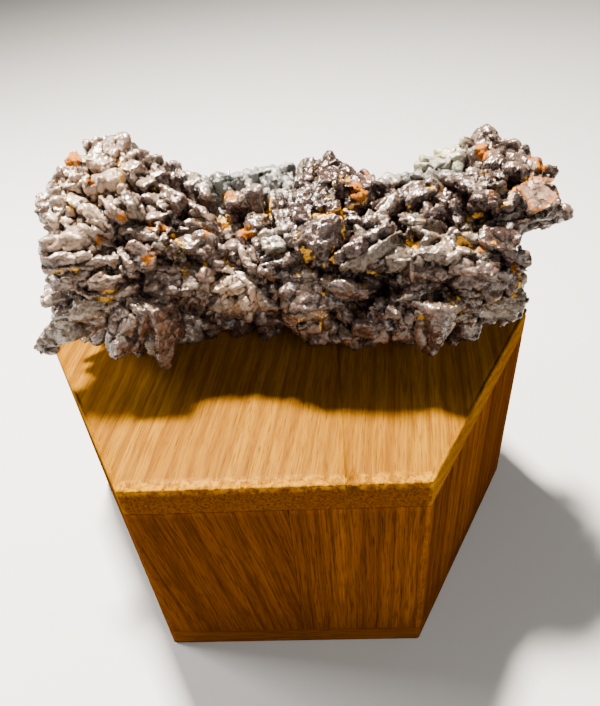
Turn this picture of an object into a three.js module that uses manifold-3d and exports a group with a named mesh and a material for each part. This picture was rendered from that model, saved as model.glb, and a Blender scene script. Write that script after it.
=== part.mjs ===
// A prophecy stone: a log of iron-rich crystals grown together, lying across a hexagonal
// block of glued hardwood. Millimetres, +Z up. The origin is the middle of the block's
// underside, X runs along the stone and -Y is the side of the block that faces the viewer.

import * as THREE from 'three';
import { mergeVertices } from 'three/addons/utils/BufferGeometryUtils.js';
import Module from 'manifold-3d';

const wasm = await Module();
wasm.setup();

// ---------------------------------------------------------------- driving dimensions

const BLOCK_SIDE = 50;            // one side of the regular hexagon
const BLOCK_HEIGHT = 50;
const TOP_BOARD = 6;              // thickness of the board that the stone lies on
const BOTTOM_BOARD = 5;
const TOP_SEAM_X = 11.5;          // where the two staves of the top board meet
const BODY_SEAM_X = 2;            // where the two halves of the body meet

const REST_GAP = 0.3;             // the stone's lowest points above the top board
const CREST = 1.0;                // a crystal's highest point over the mean surface, at lift 0
const CORE_INSET = 3.2;           // how far the matrix lies under the mean surface
const CORE_SIDES = 9;
const CORE_RINGS = 9;
const ROUGHNESS = 0.1;            // how far a crystal's corners stray, as a part of its size
const SHORTEST_EDGE = 1e-4;

const STONE_COLOUR = 0x4a3c39;
const TOP_WOOD_COLOUR = 0xd08a3c;
const BODY_WOOD_COLOUR = 0x9a5a1c;

// The log's axis and mean radius: station along X, axis y, axis z, radius.
const LOG = [
  [-45, -1, 68.5, 17],
  [-35, -1, 69.5, 19],
  [-25, -1, 69, 19],
  [-15, 0, 66.5, 16.5],
  [-5, -1, 66, 16],
  [5, -3, 66.5, 16.5],
  [15, -5, 66.5, 16.5],
  [25, -5.5, 66.5, 16.5],
  [35, -5, 67.5, 17],
  [45, -3, 69.5, 15],
  [52, -2, 71, 12],
];
const CORE_FROM = -34;
const CORE_TO = 42;

// ---------------------------------------------------------------- crystals, by hand
//
// Each row is one crystal: kind, station along the log, clock angle round it (0 is the
// top, 90 the front, 180 the underside), lift of its crest over the usual one, then
// its length, width and thickness, and the heading of its long axis on the surface
// (0 along +X, 90 down the front), its tilt out of the surface, and its shelf angle,
// by which a flat crystal turns its broad face upwards.

const LEFT_CROWN = [
  ['blade', -30, -24, 1.4, 9, 5.5, 5, -100, 60, 0],
  ['blade', -27, -24, 1.8, 9, 5.5, 5, -85, 62, 0],
  ['block', -25.5, 24, 0.5, 6, 6, 6, 0, 0, 30],
  ['blade', -22.5, 8, 0.2, 7, 3.4, 5, 45, 15, 0],
  ['blade', -22.5, -6, 1, 7, 3.6, 5.5, 45, 20, 0],
  ['blade', -20, -8, 1.4, 8, 3.4, 5.5, 60, 15, 0],
  ['blade', -17.5, -10, 1.4, 8, 3.4, 5, 60, 15, 0],
  ['blade', -16, 2, -0.2, 7, 3.2, 5, 60, 10, 0],
  ['blade', -20, 17, 0, 6.5, 3.2, 5, 55, 15, 0],
];

const LEFT_FACE = [
  ['block', -32, 19, -0.6, 5.4, 7, 6, 175, 0, 0],
  ['blade', -24.5, 38, 0.3, 6, 3.6, 5.5, 45, 10, 0],
  ['blade', -28, 41, 0.2, 9, 4, 5.5, 45, 10, 0],
  ['blade', -31.5, 54, 1, 11, 7, 5.5, 172, 14, 25],
  ['blade', -27, 52, 0, 7, 4, 5.5, 25, 5, 10],
  ['slab', -32.5, 61, 0, 10, 6, 2.4, 180, 5, 50],
  ['slab', -32.5, 66.5, -0.8, 9.5, 6, 2.2, 180, 5, 50],
  ['blade', -27, 67, 0, 7, 3.4, 5.5, 176, 5, 20],
  ['blade', -32.5, 76, 0, 9, 4.6, 6, 172, 10, 20],
  ['slab', -27.5, 77, 0.6, 9, 7, 3.4, 176, 0, 45],
  ['blade', -24.5, 84, 0.4, 8, 4, 5.5, -20, 10, 30],
  ['blade', -32.5, 95, 0, 12, 4.6, 6, 172, 6, 20],
  ['blade', -27, 92, 0.4, 8, 4.6, 6, -8, 8, 20],
  ['tooth', -38.4, 113, 3.6, 12, 7, 6, 155, 16, 0],
  ['knob', -21, 62, 0.4, 7, 6, 6, -10, 0, 0],
  ['blade', -10.8, 32, 0.2, 8, 3.8, 5.5, 48, 8, 0],
  ['block', -17, 27, 0.2, 7, 5.6, 6, 35, 0, 10],
  ['block', -12, 52, 0, 7, 6, 6, 20, 0, 15],
  ['blade', -20.5, 50, 0.4, 8, 4.6, 5.5, -165, 12, 10],
  ['slab', -13.2, 75, 0.4, 7, 6, 3, -5, 0, 40],
  ['slab', -18, 78, 0, 7, 6, 3, 5, 0, 35],
];

const LEFT_LOBE = [
  ['block', -20, 101, 1.5, 12, 10, 8, 100, 12, 0],
  ['blade', -19.5, 108, 6.5, 15, 4.6, 6, 96, 24, 0],
  ['blade', -16.8, 106, 5.5, 14, 4.2, 6, 84, 22, 0],
  ['blade', -14.4, 104, 4, 12, 3.8, 5.5, 76, 20, 0],
  ['blade', -22.6, 108, 5.5, 14, 4.4, 6, 112, 22, 0],
  ['slab', -26.5, 109, 4, 13, 9, 5, 140, 14, -10],
  ['block', -32, 110, -0.6, 9, 8, 6, 170, 0, 0],
];

const MIDDLE_BACK = [
  ['knob', -4.5, -8, -0.2, 5.5, 4.6, 5.5, 0, 0, 0],
  ['knob', -2.3, 14, 0, 5.5, 4.4, 5.5, 90, 0, 0],
  ['knob', 0.2, -16, 0, 6, 5, 6, 0, 0, 0],
  ['blade', 4.2, 6, 0, 8, 3.8, 5.5, 65, 10, 0],
];

const MIDDLE_CROWN = [
  ['block', 7, 27, 0.6, 9, 4.2, 7, 90, 0, -10],
  ['blade', 7, 0, 0.6, 10, 3, 5.5, -88, 20, 0],
  ['blade', 9, -4, 0.4, 9, 3.4, 5.5, -92, 20, 0],
  ['blade', 11, -24, 3, 9, 5, 5, -90, 72, 0],
  ['block', 10.6, 8, 0.4, 6, 4, 6, 92, 0, 0],
  ['block', 11.2, 24, 0.4, 6.5, 3.4, 6, 90, 0, 0],
  ['blade', 12.8, 13, 0.6, 8, 3, 5.5, 92, 5, 0],
  ['block', 15.4, 13, 0.8, 6.4, 6, 6.5, 10, 0, 12],
];

const MIDDLE_FACE = [
  ['knob', 9.4, 44, 0.6, 9.5, 8, 7.5, -13, 0, 0],
  ['knob', 9.2, 55, 0, 7, 6, 7, 0, 0, 0],
  ['blade', 14.6, 36, 0.8, 7, 4, 6, 45, 10, 15],
  ['blade', 16, 49, 1.4, 13, 4.6, 6.5, -29, 6, 15],
  ['blade', 17.2, 54.5, 1.2, 13, 4, 6, -31, 6, 20],
  ['slab', 7, 66, 0.2, 6.5, 6, 3.4, 0, 0, 35],
  ['block', 3, 49.5, 0.6, 7.5, 6, 6, -8, 0, 18],
  ['slab', 2.6, 57, 0.6, 8, 7, 3.4, -15, 0, 35],
  ['blade', -2.4, 65, 0.8, 8.5, 3.6, 5.5, 67, 8, -10],
  ['slab', 3, 65.5, 0.3, 7.5, 6.5, 3, 0, 0, 45],
  ['tooth', -5.6, 75.5, 0.9, 10.5, 7.5, 7, 170, 12, 0],
  ['tooth', -3.2, 84, 1.1, 10, 7.5, 7, 100, 14, 0],
  ['block', -6.5, 104, -0.8, 8, 7, 6, 10, 0, 0],
  ['block', -6.5, 61, -0.8, 8, 6.6, 5.6, 15, 0, 10],
];

const MIDDLE_FOOT = [
  ['block', 6.6, 82, 1.2, 9.5, 7.5, 8, -6, 0, 22],
  ['block', 6.2, 96, 0.6, 8.5, 9, 8, -6, 0, -8],
  ['blade', 13, 75, 1.4, 9.5, 6, 7, 14, 8, 22],
  ['tooth', 12, 93, 0.8, 9, 5, 6, 70, 8, 0],
  ['knob', 6, 104, 0.6, 7, 6.4, 7, 90, 0, 0],
  ['slab', 20, 98, 0.2, 8.5, 6, 2.6, 0, 0, 40],
];

const RIGHT_BACK = [
  ['knob', 28.2, -6, 0.6, 6, 5, 6, 0, 0, 0],
  ['knob', 31.8, -10, 0.6, 6, 5.4, 6, 0, 0, 0],
  ['block', 35, -12, 1, 6, 6, 6.5, 10, 0, 0],
  ['blade', 21, 22, 0.3, 8, 4.2, 5.5, -40, 6, 10],
  ['block', 25.4, 20, 0.2, 6.4, 5, 6, -20, 0, 10],
];

const RIGHT_HEAD = [
  ['blade', 38.2, -20, 4.2, 13, 6.5, 6, -95, 70, 0],
  ['blade', 40.4, -18, 2.6, 10, 5.5, 5.5, -85, 66, 0],
  ['block', 38, 2, 0.6, 6.5, 4, 6, -75, 0, 0],
  ['block', 41, 4, 0.8, 6.5, 5, 6, 10, 0, 20],
  ['blade', 46, 20, 0.6, 6, 3, 5, -22, 10, 10],
  ['block', 43.4, 38, 0.4, 8.2, 6.6, 8, 7, 0, 0],
  ['knob', 45.6, 46, -1.4, 9, 5, 7, 4, 4, 0],
  ['blade', 37.4, 19, 0.8, 6, 3.8, 6, -20, 6, 20],
  ['blade', 33, 12, 1.2, 10, 5.4, 6.5, -158, 14, 20],
  ['block', 34.4, 19, -0.4, 6.4, 5.4, 7, 20, 0, 0],
  ['blade', 39.4, 51, -0.4, 9.5, 4.4, 7, -15, 0, 10],
  ['blade', 39.4, 45, -0.6, 10, 4.2, 7, -16, 0, 10],
];

const RIGHT_LEDGES = [
  ['slab', 29.4, 56, 0.8, 11, 7.5, 4.2, 16, 0, 35],
  ['slab', 35.6, 58, 0.8, 10, 7, 3.8, 12, 0, 35],
  ['slab', 23.8, 56, 0.5, 9, 6.5, 3.6, 2, 0, 35],
  ['slab', 27.2, 66, 0, 8, 6, 2.8, 8, 0, 40],
  ['slab', 33.6, 66, 0.6, 11, 6.5, 3.2, 11, 0, 40],
  ['slab', 34.2, 74, 0.8, 11.5, 7, 4, 14, 0, 40],
  ['block', 34.4, 82, -0.6, 9, 6, 6, 12, 0, 20],
  ['tooth', 39.6, 101, 0, 8, 4.4, 6, 10, 10, 0],
  ['block', 38.5, 108, -1.5, 8, 8, 7, 10, 0, 0],
  ['blade', 32.6, 99, 0.2, 6.5, 3.4, 5.5, -14, 0, 20],
  ['tooth', 27.4, 106, 3, 13, 11, 8, 89, 10, 0],
];

const ROWS = [
  LEFT_CROWN, LEFT_FACE, LEFT_LOBE, MIDDLE_BACK, MIDDLE_CROWN, MIDDLE_FACE,
  MIDDLE_FOOT, RIGHT_BACK, RIGHT_HEAD, RIGHT_LEDGES,
].flat();

// The far side and the underside carry the same growth: rows of blocks and teeth round the
// log and over its two ends, worked out by loops.
const HIDDEN = {
  stations: 6, from: -30, to: 39,
  clocks: [-55, -88, -121, -154, 173, 142],
  length: 13, width: 11, thickness: 8,
};
const ENDS = [
  { station: -35, heading: 180 },
  { station: 37, heading: 0 },
];
const END_RINGS = [
  { count: 5, lift: -5 },
  { count: 2, lift: -11 },
];
const END_LENGTH = 9;
const TOOTH_SHARE = 0.4;          // how many of the hidden crystals are teeth

// ---------------------------------------------------------------- helpers

function seededRandom(seed) {
  let state = seed >>> 0;
  return () => {
    state = (state + 0x6d2b79f5) >>> 0;
    let t = Math.imul(state ^ (state >>> 15), 1 | state);
    t = (t + Math.imul(t ^ (t >>> 7), 61 | t)) ^ t;
    return ((t ^ (t >>> 14)) >>> 0) / 4294967296;
  };
}

const radians = THREE.MathUtils.degToRad;

// y, z and radius of the log at a station, straight between the rows of LOG
function logAt(station) {
  let i = 0;
  while (i < LOG.length - 2 && LOG[i + 1][0] < station) i += 1;
  const [x0, ...a] = LOG[i];
  const [x1, ...b] = LOG[i + 1];
  const t = THREE.MathUtils.clamp((station - x0) / (x1 - x0), 0, 1);
  return a.map((value, k) => value + (b[k] - value) * t);
}

// a point at a station, clock angle and lift over the mean surface
function surfacePoint(station, clock, lift) {
  const [y, z, radius] = logAt(station);
  const angle = radians(clock);
  const reach = radius + lift;
  return new THREE.Vector3(station, y - reach * Math.sin(angle), z + reach * Math.cos(angle));
}

// a prism of given sides whose radius follows the profile from root (y = -0.5) to tip
function prism(sides, profile, start = 0) {
  const rings = profile.length - 1;
  const geometry = new THREE.CylinderGeometry(1, 1, 1, sides, rings, false, start);
  const p = geometry.attributes.position;
  for (let i = 0; i < p.count; i += 1) {
    const at = Math.round((p.getY(i) + 0.5) * rings);
    p.setX(i, p.getX(i) * 0.5 * profile[at]);
    p.setZ(i, p.getZ(i) * 0.5 * profile[at]);
  }
  return geometry;
}

// every kind is one unit long, wide and thick, with its long axis along Y
const KINDS = {
  blade: () => prism(4, [0.8, 1.1, 0.3]),
  slab: () => prism(4, [0.95, 1.25, 0.9], Math.PI / 4),
  block: () => prism(4, [1.0, 1.2], Math.PI / 4),
  tooth: () => prism(4, [1.2, 0.2]),
  knob: () => new THREE.IcosahedronGeometry(0.5, 0),
};

// moves corners a little, the same way for corners that share a place
function roughen(geometry, random) {
  const p = geometry.attributes.position;
  for (let i = 0; i < p.count; i += 1) {
    p.setXYZ(
      i,
      p.getX(i) + (random() - 0.5) * 2 * ROUGHNESS,
      p.getY(i) + (random() - 0.5) * ROUGHNESS,
      p.getZ(i) + (random() - 0.5) * 2 * ROUGHNESS,
    );
  }
  return geometry;
}

function merged(geometry) {
  geometry.deleteAttribute('normal');
  geometry.deleteAttribute('uv');
  return mergeVertices(geometry, SHORTEST_EDGE);
}

// lays a unit crystal on the log by its row, its crest at the row's lift
function crystal(row, random) {
  const [kind, station, clock, lift, length, width, thickness, heading, tilt, shelf] = row;
  const geometry = roughen(merged(KINDS[kind]()), random);
  const angle = radians(clock);
  const out = new THREE.Vector3(0, -Math.sin(angle), Math.cos(angle));
  const down = new THREE.Vector3(0, -Math.cos(angle), -Math.sin(angle));
  const along = new THREE.Vector3(Math.cos(radians(heading)), 0, 0)
    .addScaledVector(down, Math.sin(radians(heading)))
    .multiplyScalar(Math.cos(radians(tilt)))
    .addScaledVector(out, Math.sin(radians(tilt)))
    .normalize();
  const across = new THREE.Vector3().crossVectors(along, out).normalize();
  const face = new THREE.Vector3().crossVectors(across, along).normalize();
  const turn = across.dot(down) > 0 ? -radians(shelf) : radians(shelf);
  across.applyAxisAngle(along, turn);
  face.applyAxisAngle(along, turn);
  // the unit crystal's three edges once it has its size; half of each can point outwards
  const edges = [
    across.multiplyScalar(width), along.multiplyScalar(length), face.multiplyScalar(thickness),
  ];
  const reach = edges.reduce((sum, edge) => sum + Math.abs(edge.dot(out)) / 2, 0);
  const place = new THREE.Matrix4().makeBasis(...edges);
  place.setPosition(surfacePoint(station, clock, lift + CREST - reach));
  return geometry.applyMatrix4(place);
}

// The matrix that the crystals grow from: a log of rings with a rough skin. Its ends draw in
// to a half of its radius, as (1 - |2t - 1|^8)^(1/2) falls from 1 in the middle to 0.
function matrixLog(random) {
  const geometry = merged(new THREE.CylinderGeometry(1, 1, 1, CORE_SIDES, CORE_RINGS));
  const p = geometry.attributes.position;
  for (let i = 0; i < p.count; i += 1) {
    const t = p.getY(i) + 0.5;
    const spoke = Math.atan2(p.getX(i), p.getZ(i));
    const reach = Math.hypot(p.getX(i), p.getZ(i));
    const end = 0.5 + 0.5 * Math.sqrt(Math.max(0, 1 - Math.abs(2 * t - 1) ** 8));
    const station = THREE.MathUtils.lerp(CORE_FROM, CORE_TO, t) + (random() - 0.5) * 1.5;
    const [y, z, radius] = logAt(station);
    const r = reach * end * (radius - CORE_INSET + (random() - 0.5) * 1.6);
    p.setXYZ(i, station, y - r * Math.sin(spoke), z + r * Math.cos(spoke));
  }
  return geometry;
}

function toSolid(geometry) {
  const vertProperties = new Float32Array(geometry.attributes.position.array);
  const triVerts = new Uint32Array(geometry.index.array);
  return new wasm.Manifold(new wasm.Mesh({ numProp: 3, vertProperties, triVerts }));
}

// keeps the outer skin alone: pockets that the crystals close off between them are filled
function outerSkin(positions, triangles) {
  const parent = Array.from({ length: positions.length / 3 }, (_, i) => i);
  const root = (i) => {
    while (parent[i] !== i) {
      parent[i] = parent[parent[i]];
      i = parent[i];
    }
    return i;
  };
  for (let i = 0; i < triangles.length; i += 3) {
    parent[root(triangles[i + 1])] = root(triangles[i]);
    parent[root(triangles[i + 2])] = root(triangles[i]);
  }
  const sizes = new Map();
  for (let i = 0; i < triangles.length; i += 3) {
    const shell = root(triangles[i]);
    sizes.set(shell, (sizes.get(shell) ?? 0) + 1);
  }
  const largest = [...sizes.entries()].sort((a, b) => b[1] - a[1])[0][0];
  return Array.from(triangles).filter((_, i) => root(triangles[i - (i % 3)]) === largest);
}

function toGeometry(solid) {
  const mesh = solid.getMesh();
  const geometry = new THREE.BufferGeometry();
  geometry.setAttribute('position', new THREE.BufferAttribute(mesh.vertProperties, 3));
  geometry.setIndex(outerSkin(mesh.vertProperties, mesh.triVerts));
  return geometry;
}

function part(name, geometry, colour, roughness, metalness) {
  const material = new THREE.MeshStandardMaterial({ color: colour, roughness, metalness });
  const mesh = new THREE.Mesh(geometry, material);
  mesh.name = name;
  return mesh;
}

// ---------------------------------------------------------------- the stone

// one crystal of a loop: its size strays by a quarter from what is asked
function hiddenCrystal(random, station, clock, lift, length, heading) {
  const stray = () => 0.75 + 0.5 * random();
  return crystal([
    random() < TOOTH_SHARE ? 'tooth' : 'block',
    station, clock, lift,
    length * stray(), HIDDEN.width * stray(), HIDDEN.thickness,
    heading, random() * 15, 0,
  ], random);
}

function hiddenCrystals(random) {
  const crystals = [];
  for (const clock of HIDDEN.clocks) {
    for (let i = 0; i < HIDDEN.stations; i += 1) {
      const t = (i + 0.5 * random()) / (HIDDEN.stations - 1);
      const station = THREE.MathUtils.lerp(HIDDEN.from, HIDDEN.to, t);
      const turned = clock + (random() - 0.5) * 14;
      const lift = random() - 1.3;
      const heading = random() * 360;
      crystals.push(hiddenCrystal(random, station, turned, lift, HIDDEN.length, heading));
    }
  }
  for (const { station, heading } of ENDS) {
    for (const { count, lift } of END_RINGS) {
      for (let i = 0; i < count; i += 1) {
        const clock = ((i + 0.6 * random()) * 360) / count;
        const along = heading + (random() - 0.5) * 50;
        crystals.push(hiddenCrystal(random, station, clock, lift, END_LENGTH, along));
      }
    }
  }
  return crystals;
}

// everything below the top board's upper face and its gap, as a slab to take away
function belowRest() {
  const reach = 4 * BLOCK_SIDE;
  const slab = new THREE.BoxGeometry(reach, reach, BLOCK_HEIGHT);
  return slab.translate(0, 0, REST_GAP + BLOCK_HEIGHT / 2);
}

function stone() {
  const random = seededRandom(7);
  let solid = toSolid(matrixLog(random));
  for (const row of ROWS) solid = solid.add(toSolid(crystal(row, random)));
  for (const geometry of hiddenCrystals(random)) solid = solid.add(toSolid(geometry));
  solid = solid.subtract(toSolid(merged(belowRest())));
  return part('prophecy_stone', toGeometry(solid), STONE_COLOUR, 0.38, 0.35);
}

// ---------------------------------------------------------------- the block

// the part of the hexagon between two values of X, as an upright prism
function hexagonSlice(fromX, toX, fromZ, toZ) {
  const across = (BLOCK_SIDE * Math.sqrt(3)) / 2;
  const halfDepth = (x) => Math.min(across, (BLOCK_SIDE - Math.abs(x)) * Math.sqrt(3));
  const inside = [-BLOCK_SIDE / 2, BLOCK_SIDE / 2].filter((x) => x > fromX && x < toX);
  const xs = [fromX, ...inside, toX];
  const front = xs.map((x) => new THREE.Vector2(x, -halfDepth(x)));
  const back = xs.toReversed().map((x) => new THREE.Vector2(x, halfDepth(x)));
  const corners = [...front, ...back].filter((corner, i, all) => {
    const next = all[(i + 1) % all.length];
    return corner.distanceTo(next) > SHORTEST_EDGE;
  });
  const geometry = new THREE.ExtrudeGeometry(new THREE.Shape(corners), {
    depth: toZ - fromZ, bevelEnabled: false,
  });
  return geometry.translate(0, 0, fromZ);
}

const underTop = BLOCK_HEIGHT - TOP_BOARD;

function topBoard(name, fromX, toX) {
  const geometry = hexagonSlice(fromX, toX, underTop, BLOCK_HEIGHT);
  return part(name, geometry, TOP_WOOD_COLOUR, 0.35, 0);
}

function bodyBoard(name, fromX, toX, fromZ, toZ) {
  return part(name, hexagonSlice(fromX, toX, fromZ, toZ), BODY_WOOD_COLOUR, 0.4, 0);
}

const prophecyStone = new THREE.Group();
prophecyStone.add(
  stone(),
  topBoard('stand_top_left', -BLOCK_SIDE, TOP_SEAM_X),
  topBoard('stand_top_right', TOP_SEAM_X, BLOCK_SIDE),
  bodyBoard('stand_body_left', -BLOCK_SIDE, BODY_SEAM_X, BOTTOM_BOARD, underTop),
  bodyBoard('stand_body_right', BODY_SEAM_X, BLOCK_SIDE, BOTTOM_BOARD, underTop),
  bodyBoard('stand_bottom', -BLOCK_SIDE, BLOCK_SIDE, 0, BOTTOM_BOARD),
);

export default prophecyStone;
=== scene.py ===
"""A prophecy stone, a log of dark iron-rich crystals grown together, on a hexagonal hardwood block.

Everything is worked out in millimetres and put into the meshes in metres, in the frame of the
CAD: +Z up, +X along the stone, -Y towards the block's front face.
"""

import math

import bpy
import numpy as np
from mathutils import Matrix


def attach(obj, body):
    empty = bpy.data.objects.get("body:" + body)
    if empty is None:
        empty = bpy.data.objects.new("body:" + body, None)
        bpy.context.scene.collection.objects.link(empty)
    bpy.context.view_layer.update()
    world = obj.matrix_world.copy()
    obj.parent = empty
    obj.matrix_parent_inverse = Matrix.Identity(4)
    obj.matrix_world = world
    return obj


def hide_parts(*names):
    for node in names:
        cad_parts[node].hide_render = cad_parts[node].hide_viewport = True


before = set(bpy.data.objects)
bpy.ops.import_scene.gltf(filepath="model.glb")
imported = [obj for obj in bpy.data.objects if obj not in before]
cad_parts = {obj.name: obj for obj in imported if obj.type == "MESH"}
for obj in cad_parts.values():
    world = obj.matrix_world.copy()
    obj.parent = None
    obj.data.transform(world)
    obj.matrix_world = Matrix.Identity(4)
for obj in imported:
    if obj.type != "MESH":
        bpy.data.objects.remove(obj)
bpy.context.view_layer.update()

MM = 0.001

# ------------------------------------------------------------------ sizes, in millimetres

SIDE = 50.0                 # one side of the block's regular hexagon
HALF_DEPTH = SIDE * math.sqrt(3) / 2
HEIGHT = 50.0
TOP_BOARD = 6.0
BOTTOM_BOARD = 5.0
TOP_SEAM_X = 11.5
BODY_SEAM_X = 2.0

CREST = 1.0                 # how far a crystal's crest stands over the mean surface, at lift 0
SLIM = 0.86                 # how much of its listed width a crystal takes, so that gaps open
SMOOTH = {"tooth": 0.5, "slab": 0.35, "block": 0.15, "blade": 0.25}    # how flat faces stay
ROUGH = 0.1                 # the same for every other kind and for the matrix
REST_GAP = 0.3              # air left between the stone's feet and the block
VOXEL = 0.32
SEED = 7
FAR_OFF = 9.0               # the distance stored where a mark is nowhere near

# Where the stone is looked at from, and that view's axes. The camera stands here, and marks on
# the stone are laid out as they are seen from here.
EYE = np.array([10.914, -107.748, 130.821])
RIGHT = np.array([0.99752, 0.01536, -0.06872])
UP = np.array([0.04284, 0.64209, 0.76543])
BACK = np.array([0.05588, -0.76647, 0.63984])
READING = 120.8             # from the eye to the plane on which marks are measured

# The stone's axis and mean radius: station along X, axis y, axis z, radius.
LOG = np.array([
    (-45, -1, 68.5, 17), (-35, -1, 69.5, 19), (-25, -1, 69, 19), (-15, 0, 66.5, 16.5),
    (-5, -1, 66, 16), (5, -3, 66.5, 16.5), (15, -5, 66.5, 16.5), (25, -5.5, 66.5, 16.5),
    (35, -5, 67.5, 17), (45, -3, 69.5, 15), (52, -2, 71, 12),
])

# ------------------------------------------------------------------ the crystals, one by one
#
# kind, station, clock (0 top, 90 front, 180 underside), lift of the crest, length, width,
# thickness, heading of the long axis (0 along +X, 90 down the front), tilt out of the
# surface, and shelf, by which a flat crystal turns its broad face upwards.

LEFT_CROWN = [
    ("block", -30, -24, 0.8, 7.6, 7, 6, -100, 60, 0),
    ("block", -27, -24, 1.2, 7.6, 7, 6, -85, 62, 0),
    ("block", -25.5, 24, 1, 6, 6, 6, 0, 0, 30),
    ("block", -22.5, 8, 0.2, 5.5, 4.4, 5, 45, 15, 0),
    ("block", -22.5, -6, 0.3, 5.5, 4.7, 5.5, 45, 20, 0),
    ("block", -20, -8, 0.3, 6.2, 4.4, 5.5, 60, 15, 0),
    ("block", -17.5, -10, 0, 6.2, 4.4, 5, 60, 15, 0),
    ("block", -16, 2, -0.2, 5.5, 4.2, 5, 60, 10, 0),
    ("block", -20, 17, 0, 5.1, 4.2, 5, 55, 15, 0),
    ("block", -31.5, 2, -0.4, 5, 5, 6, 180, 10, 0),
    ("knob", -33, 18, -1, 4, 4, 5, 180, 0, 0),
    ("knob", -33, 27, -1, 4, 4, 5, 180, 0, 0),
    ("knob", -30.5, 19, 0, 4, 3.5, 5, 90, 0, 0),
    ("knob", -28.5, 26, 0, 3, 3, 5, 0, 0, 0),
    ("block", -27.5, 6, 0, 4.7, 4.5, 5, -150, 10, 0),
    ("block", -13.5, 4, -0.5, 5.5, 4.2, 5, 50, 10, 0),
    ("block", -18.5, 6, 0, 5.1, 3.9, 5, 60, 10, 0),
]

LEFT_FACE = [
    ("block", -32, 19, -0.6, 5.4, 7, 6, 175, 0, 0),
    ("blade", -24.5, 38, 0.3, 6, 3.6, 5.5, 45, 10, 0),
    ("blade", -28, 41, 0.2, 9, 4, 5.5, 45, 10, 0),
    ("blade", -31.5, 54, 1.8, 11, 7, 5.5, 172, 14, 25),
    ("blade", -27, 52, 0, 7, 4, 5.5, 25, 5, 10),
    ("slab", -32.5, 61, 0.5, 10, 6, 2.4, 180, 5, 50),
    ("slab", -32.5, 66.5, -0.2, 9.5, 6, 2.2, 180, 5, 50),
    ("blade", -27, 67, 0, 7, 3.4, 5.5, 176, 5, 20),
    ("blade", -32.5, 76, 0.9, 9.5, 6, 7, 172, 10, 20),
    ("blade", -27.5, 77.5, 0.8, 9, 6, 5.5, 176, 4, 25),
    ("blade", -24.5, 84, 0.4, 8, 4, 5.5, -20, 10, 30),
    ("blade", -32, 95, 1.6, 13, 6.6, 7, 170, 8, 20),
    ("blade", -27, 92, 0.4, 8, 4.6, 6, -8, 8, 20),
    ("tooth", -38.6, 113, 4.0, 12.5, 8.5, 8, 152, 16, 0),
    ("knob", -21, 62, 0.9, 7, 6, 6, -10, 0, 0),
    ("blade", -10.8, 32, 0.2, 8, 3.8, 5.5, 48, 8, 0),
    ("block", -17, 27, 0.8, 7, 5.6, 6, 35, 0, 10),
    ("block", -12, 52, 0.6, 7, 6, 6, 20, 0, 15),
    ("blade", -20.5, 50, 0.4, 8, 4.6, 5.5, -165, 12, 10),
    ("slab", -13.2, 75, 0.4, 7, 6, 3, -5, 0, 40),
    ("slab", -18, 78, 0, 7, 6, 3, 5, 0, 35),
    ("knob", -22, 34, 0.8, 6, 4, 5.5, 45, 0, 0),
    ("knob", -33.5, 37, -0.5, 5.5, 4, 5.5, 175, 15, 0),
    ("knob", -33.5, 45, -0.5, 5, 3.5, 5, 180, 15, 0),
    ("blade", -23.5, 71, -0.2, 5, 3.2, 5.5, -145, 10, 20),
    ("blade", -30, 84, -0.2, 6, 3.4, 5.5, -160, 5, 20),
    ("knob", -36, 88, -0.5, 5, 2.6, 4, 180, 10, 0),
    ("block", -22.8, 92, 0.5, 5, 4.6, 6, 100, 0, 0),
    ("knob", -17.5, 54, 0, 4, 3.4, 5.5, 60, 0, 0),
    ("knob", -15.5, 55, 0, 4.6, 3.4, 5.5, 90, 0, 0),
    ("block", -17.5, 37, 0, 5, 3.6, 5.5, -10, 0, 15),
    ("blade", -16.5, 27, -0.3, 5.5, 3.4, 5.5, -30, 5, 0),
    ("blade", -13, 41, 0, 6, 3.8, 5.5, 15, 5, 20),
    ("knob", -16.5, 45, 0, 4, 3.4, 5.5, 0, 0, 0),
    ("blade", -9.5, 42, -0.3, 5, 3, 5, 40, 5, 20),
    ("knob", -10.5, 68, 0, 3.6, 3, 5.5, 95, 0, 0),
    ("blade", -16, 69, -0.2, 6, 3.2, 5.5, 5, 0, 20),
    ("knob", -12, 88, -0.8, 5, 3.4, 5, 0, 0, 0),
    ("knob", -20, 103, -0.5, 5, 4, 6, 150, 0, 0),
]

LEFT_LOBE = [
    ("block", -21, 101, 1.2, 11, 10, 8, 100, 12, 0),
    ("tooth", -19.6, 108, 7.2, 17, 10, 9, 96, 24, 0),
    ("tooth", -22.8, 106, 5, 13, 9, 8, 110, 22, 0),
    ("blade", -25.6, 108, 4.4, 13, 8, 7, 120, 18, 0),
    ("blade", -17.4, 103, 2.4, 9, 4.6, 6, 84, 16, 0),
    ("block", -32, 110, -1.6, 8, 7, 6, 170, 0, 0),
]

MIDDLE_BACK = [
    ("block", -4.5, -8, -0.2, 5.5, 4.6, 5.5, 35, 0, 0),
    ("knob", -2.3, 14, 0, 5.5, 4.4, 5.5, 90, 0, 0),
    ("block", 0.2, -16, 0, 6, 5, 6, 70, 0, 0),
    ("blade", 4.2, 6, 0, 8, 3.8, 5.5, 65, 10, 0),
    ("block", -10.8, 10, -0.8, 5, 4.4, 5.5, 35, 0, 0),
    ("knob", -8.5, -8, -0.8, 5.5, 4.6, 5.5, 0, 0, 0),
    ("block", -5.5, 20, 0, 5, 4.6, 5.5, 70, 0, 0),
    ("block", 3.4, -24, 0, 6, 3.6, 3.6, -90, 75, 0),
    ("blade", 1.2, 2, -0.2, 6, 3, 5.5, 40, 10, 0),
    ("block", 1.8, 19, -1.4, 3.6, 3, 4.6, 85, 0, 0),
    ("blade", 4.6, 24, -0.3, 7, 3, 5, 85, 0, 0),
    ("knob", -1.5, 36, -1, 5, 4, 4.6, 0, 0, 0),
    ("block", 3.4, 37, -0.8, 6, 4, 4.6, 70, 0, 0),
]

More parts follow.
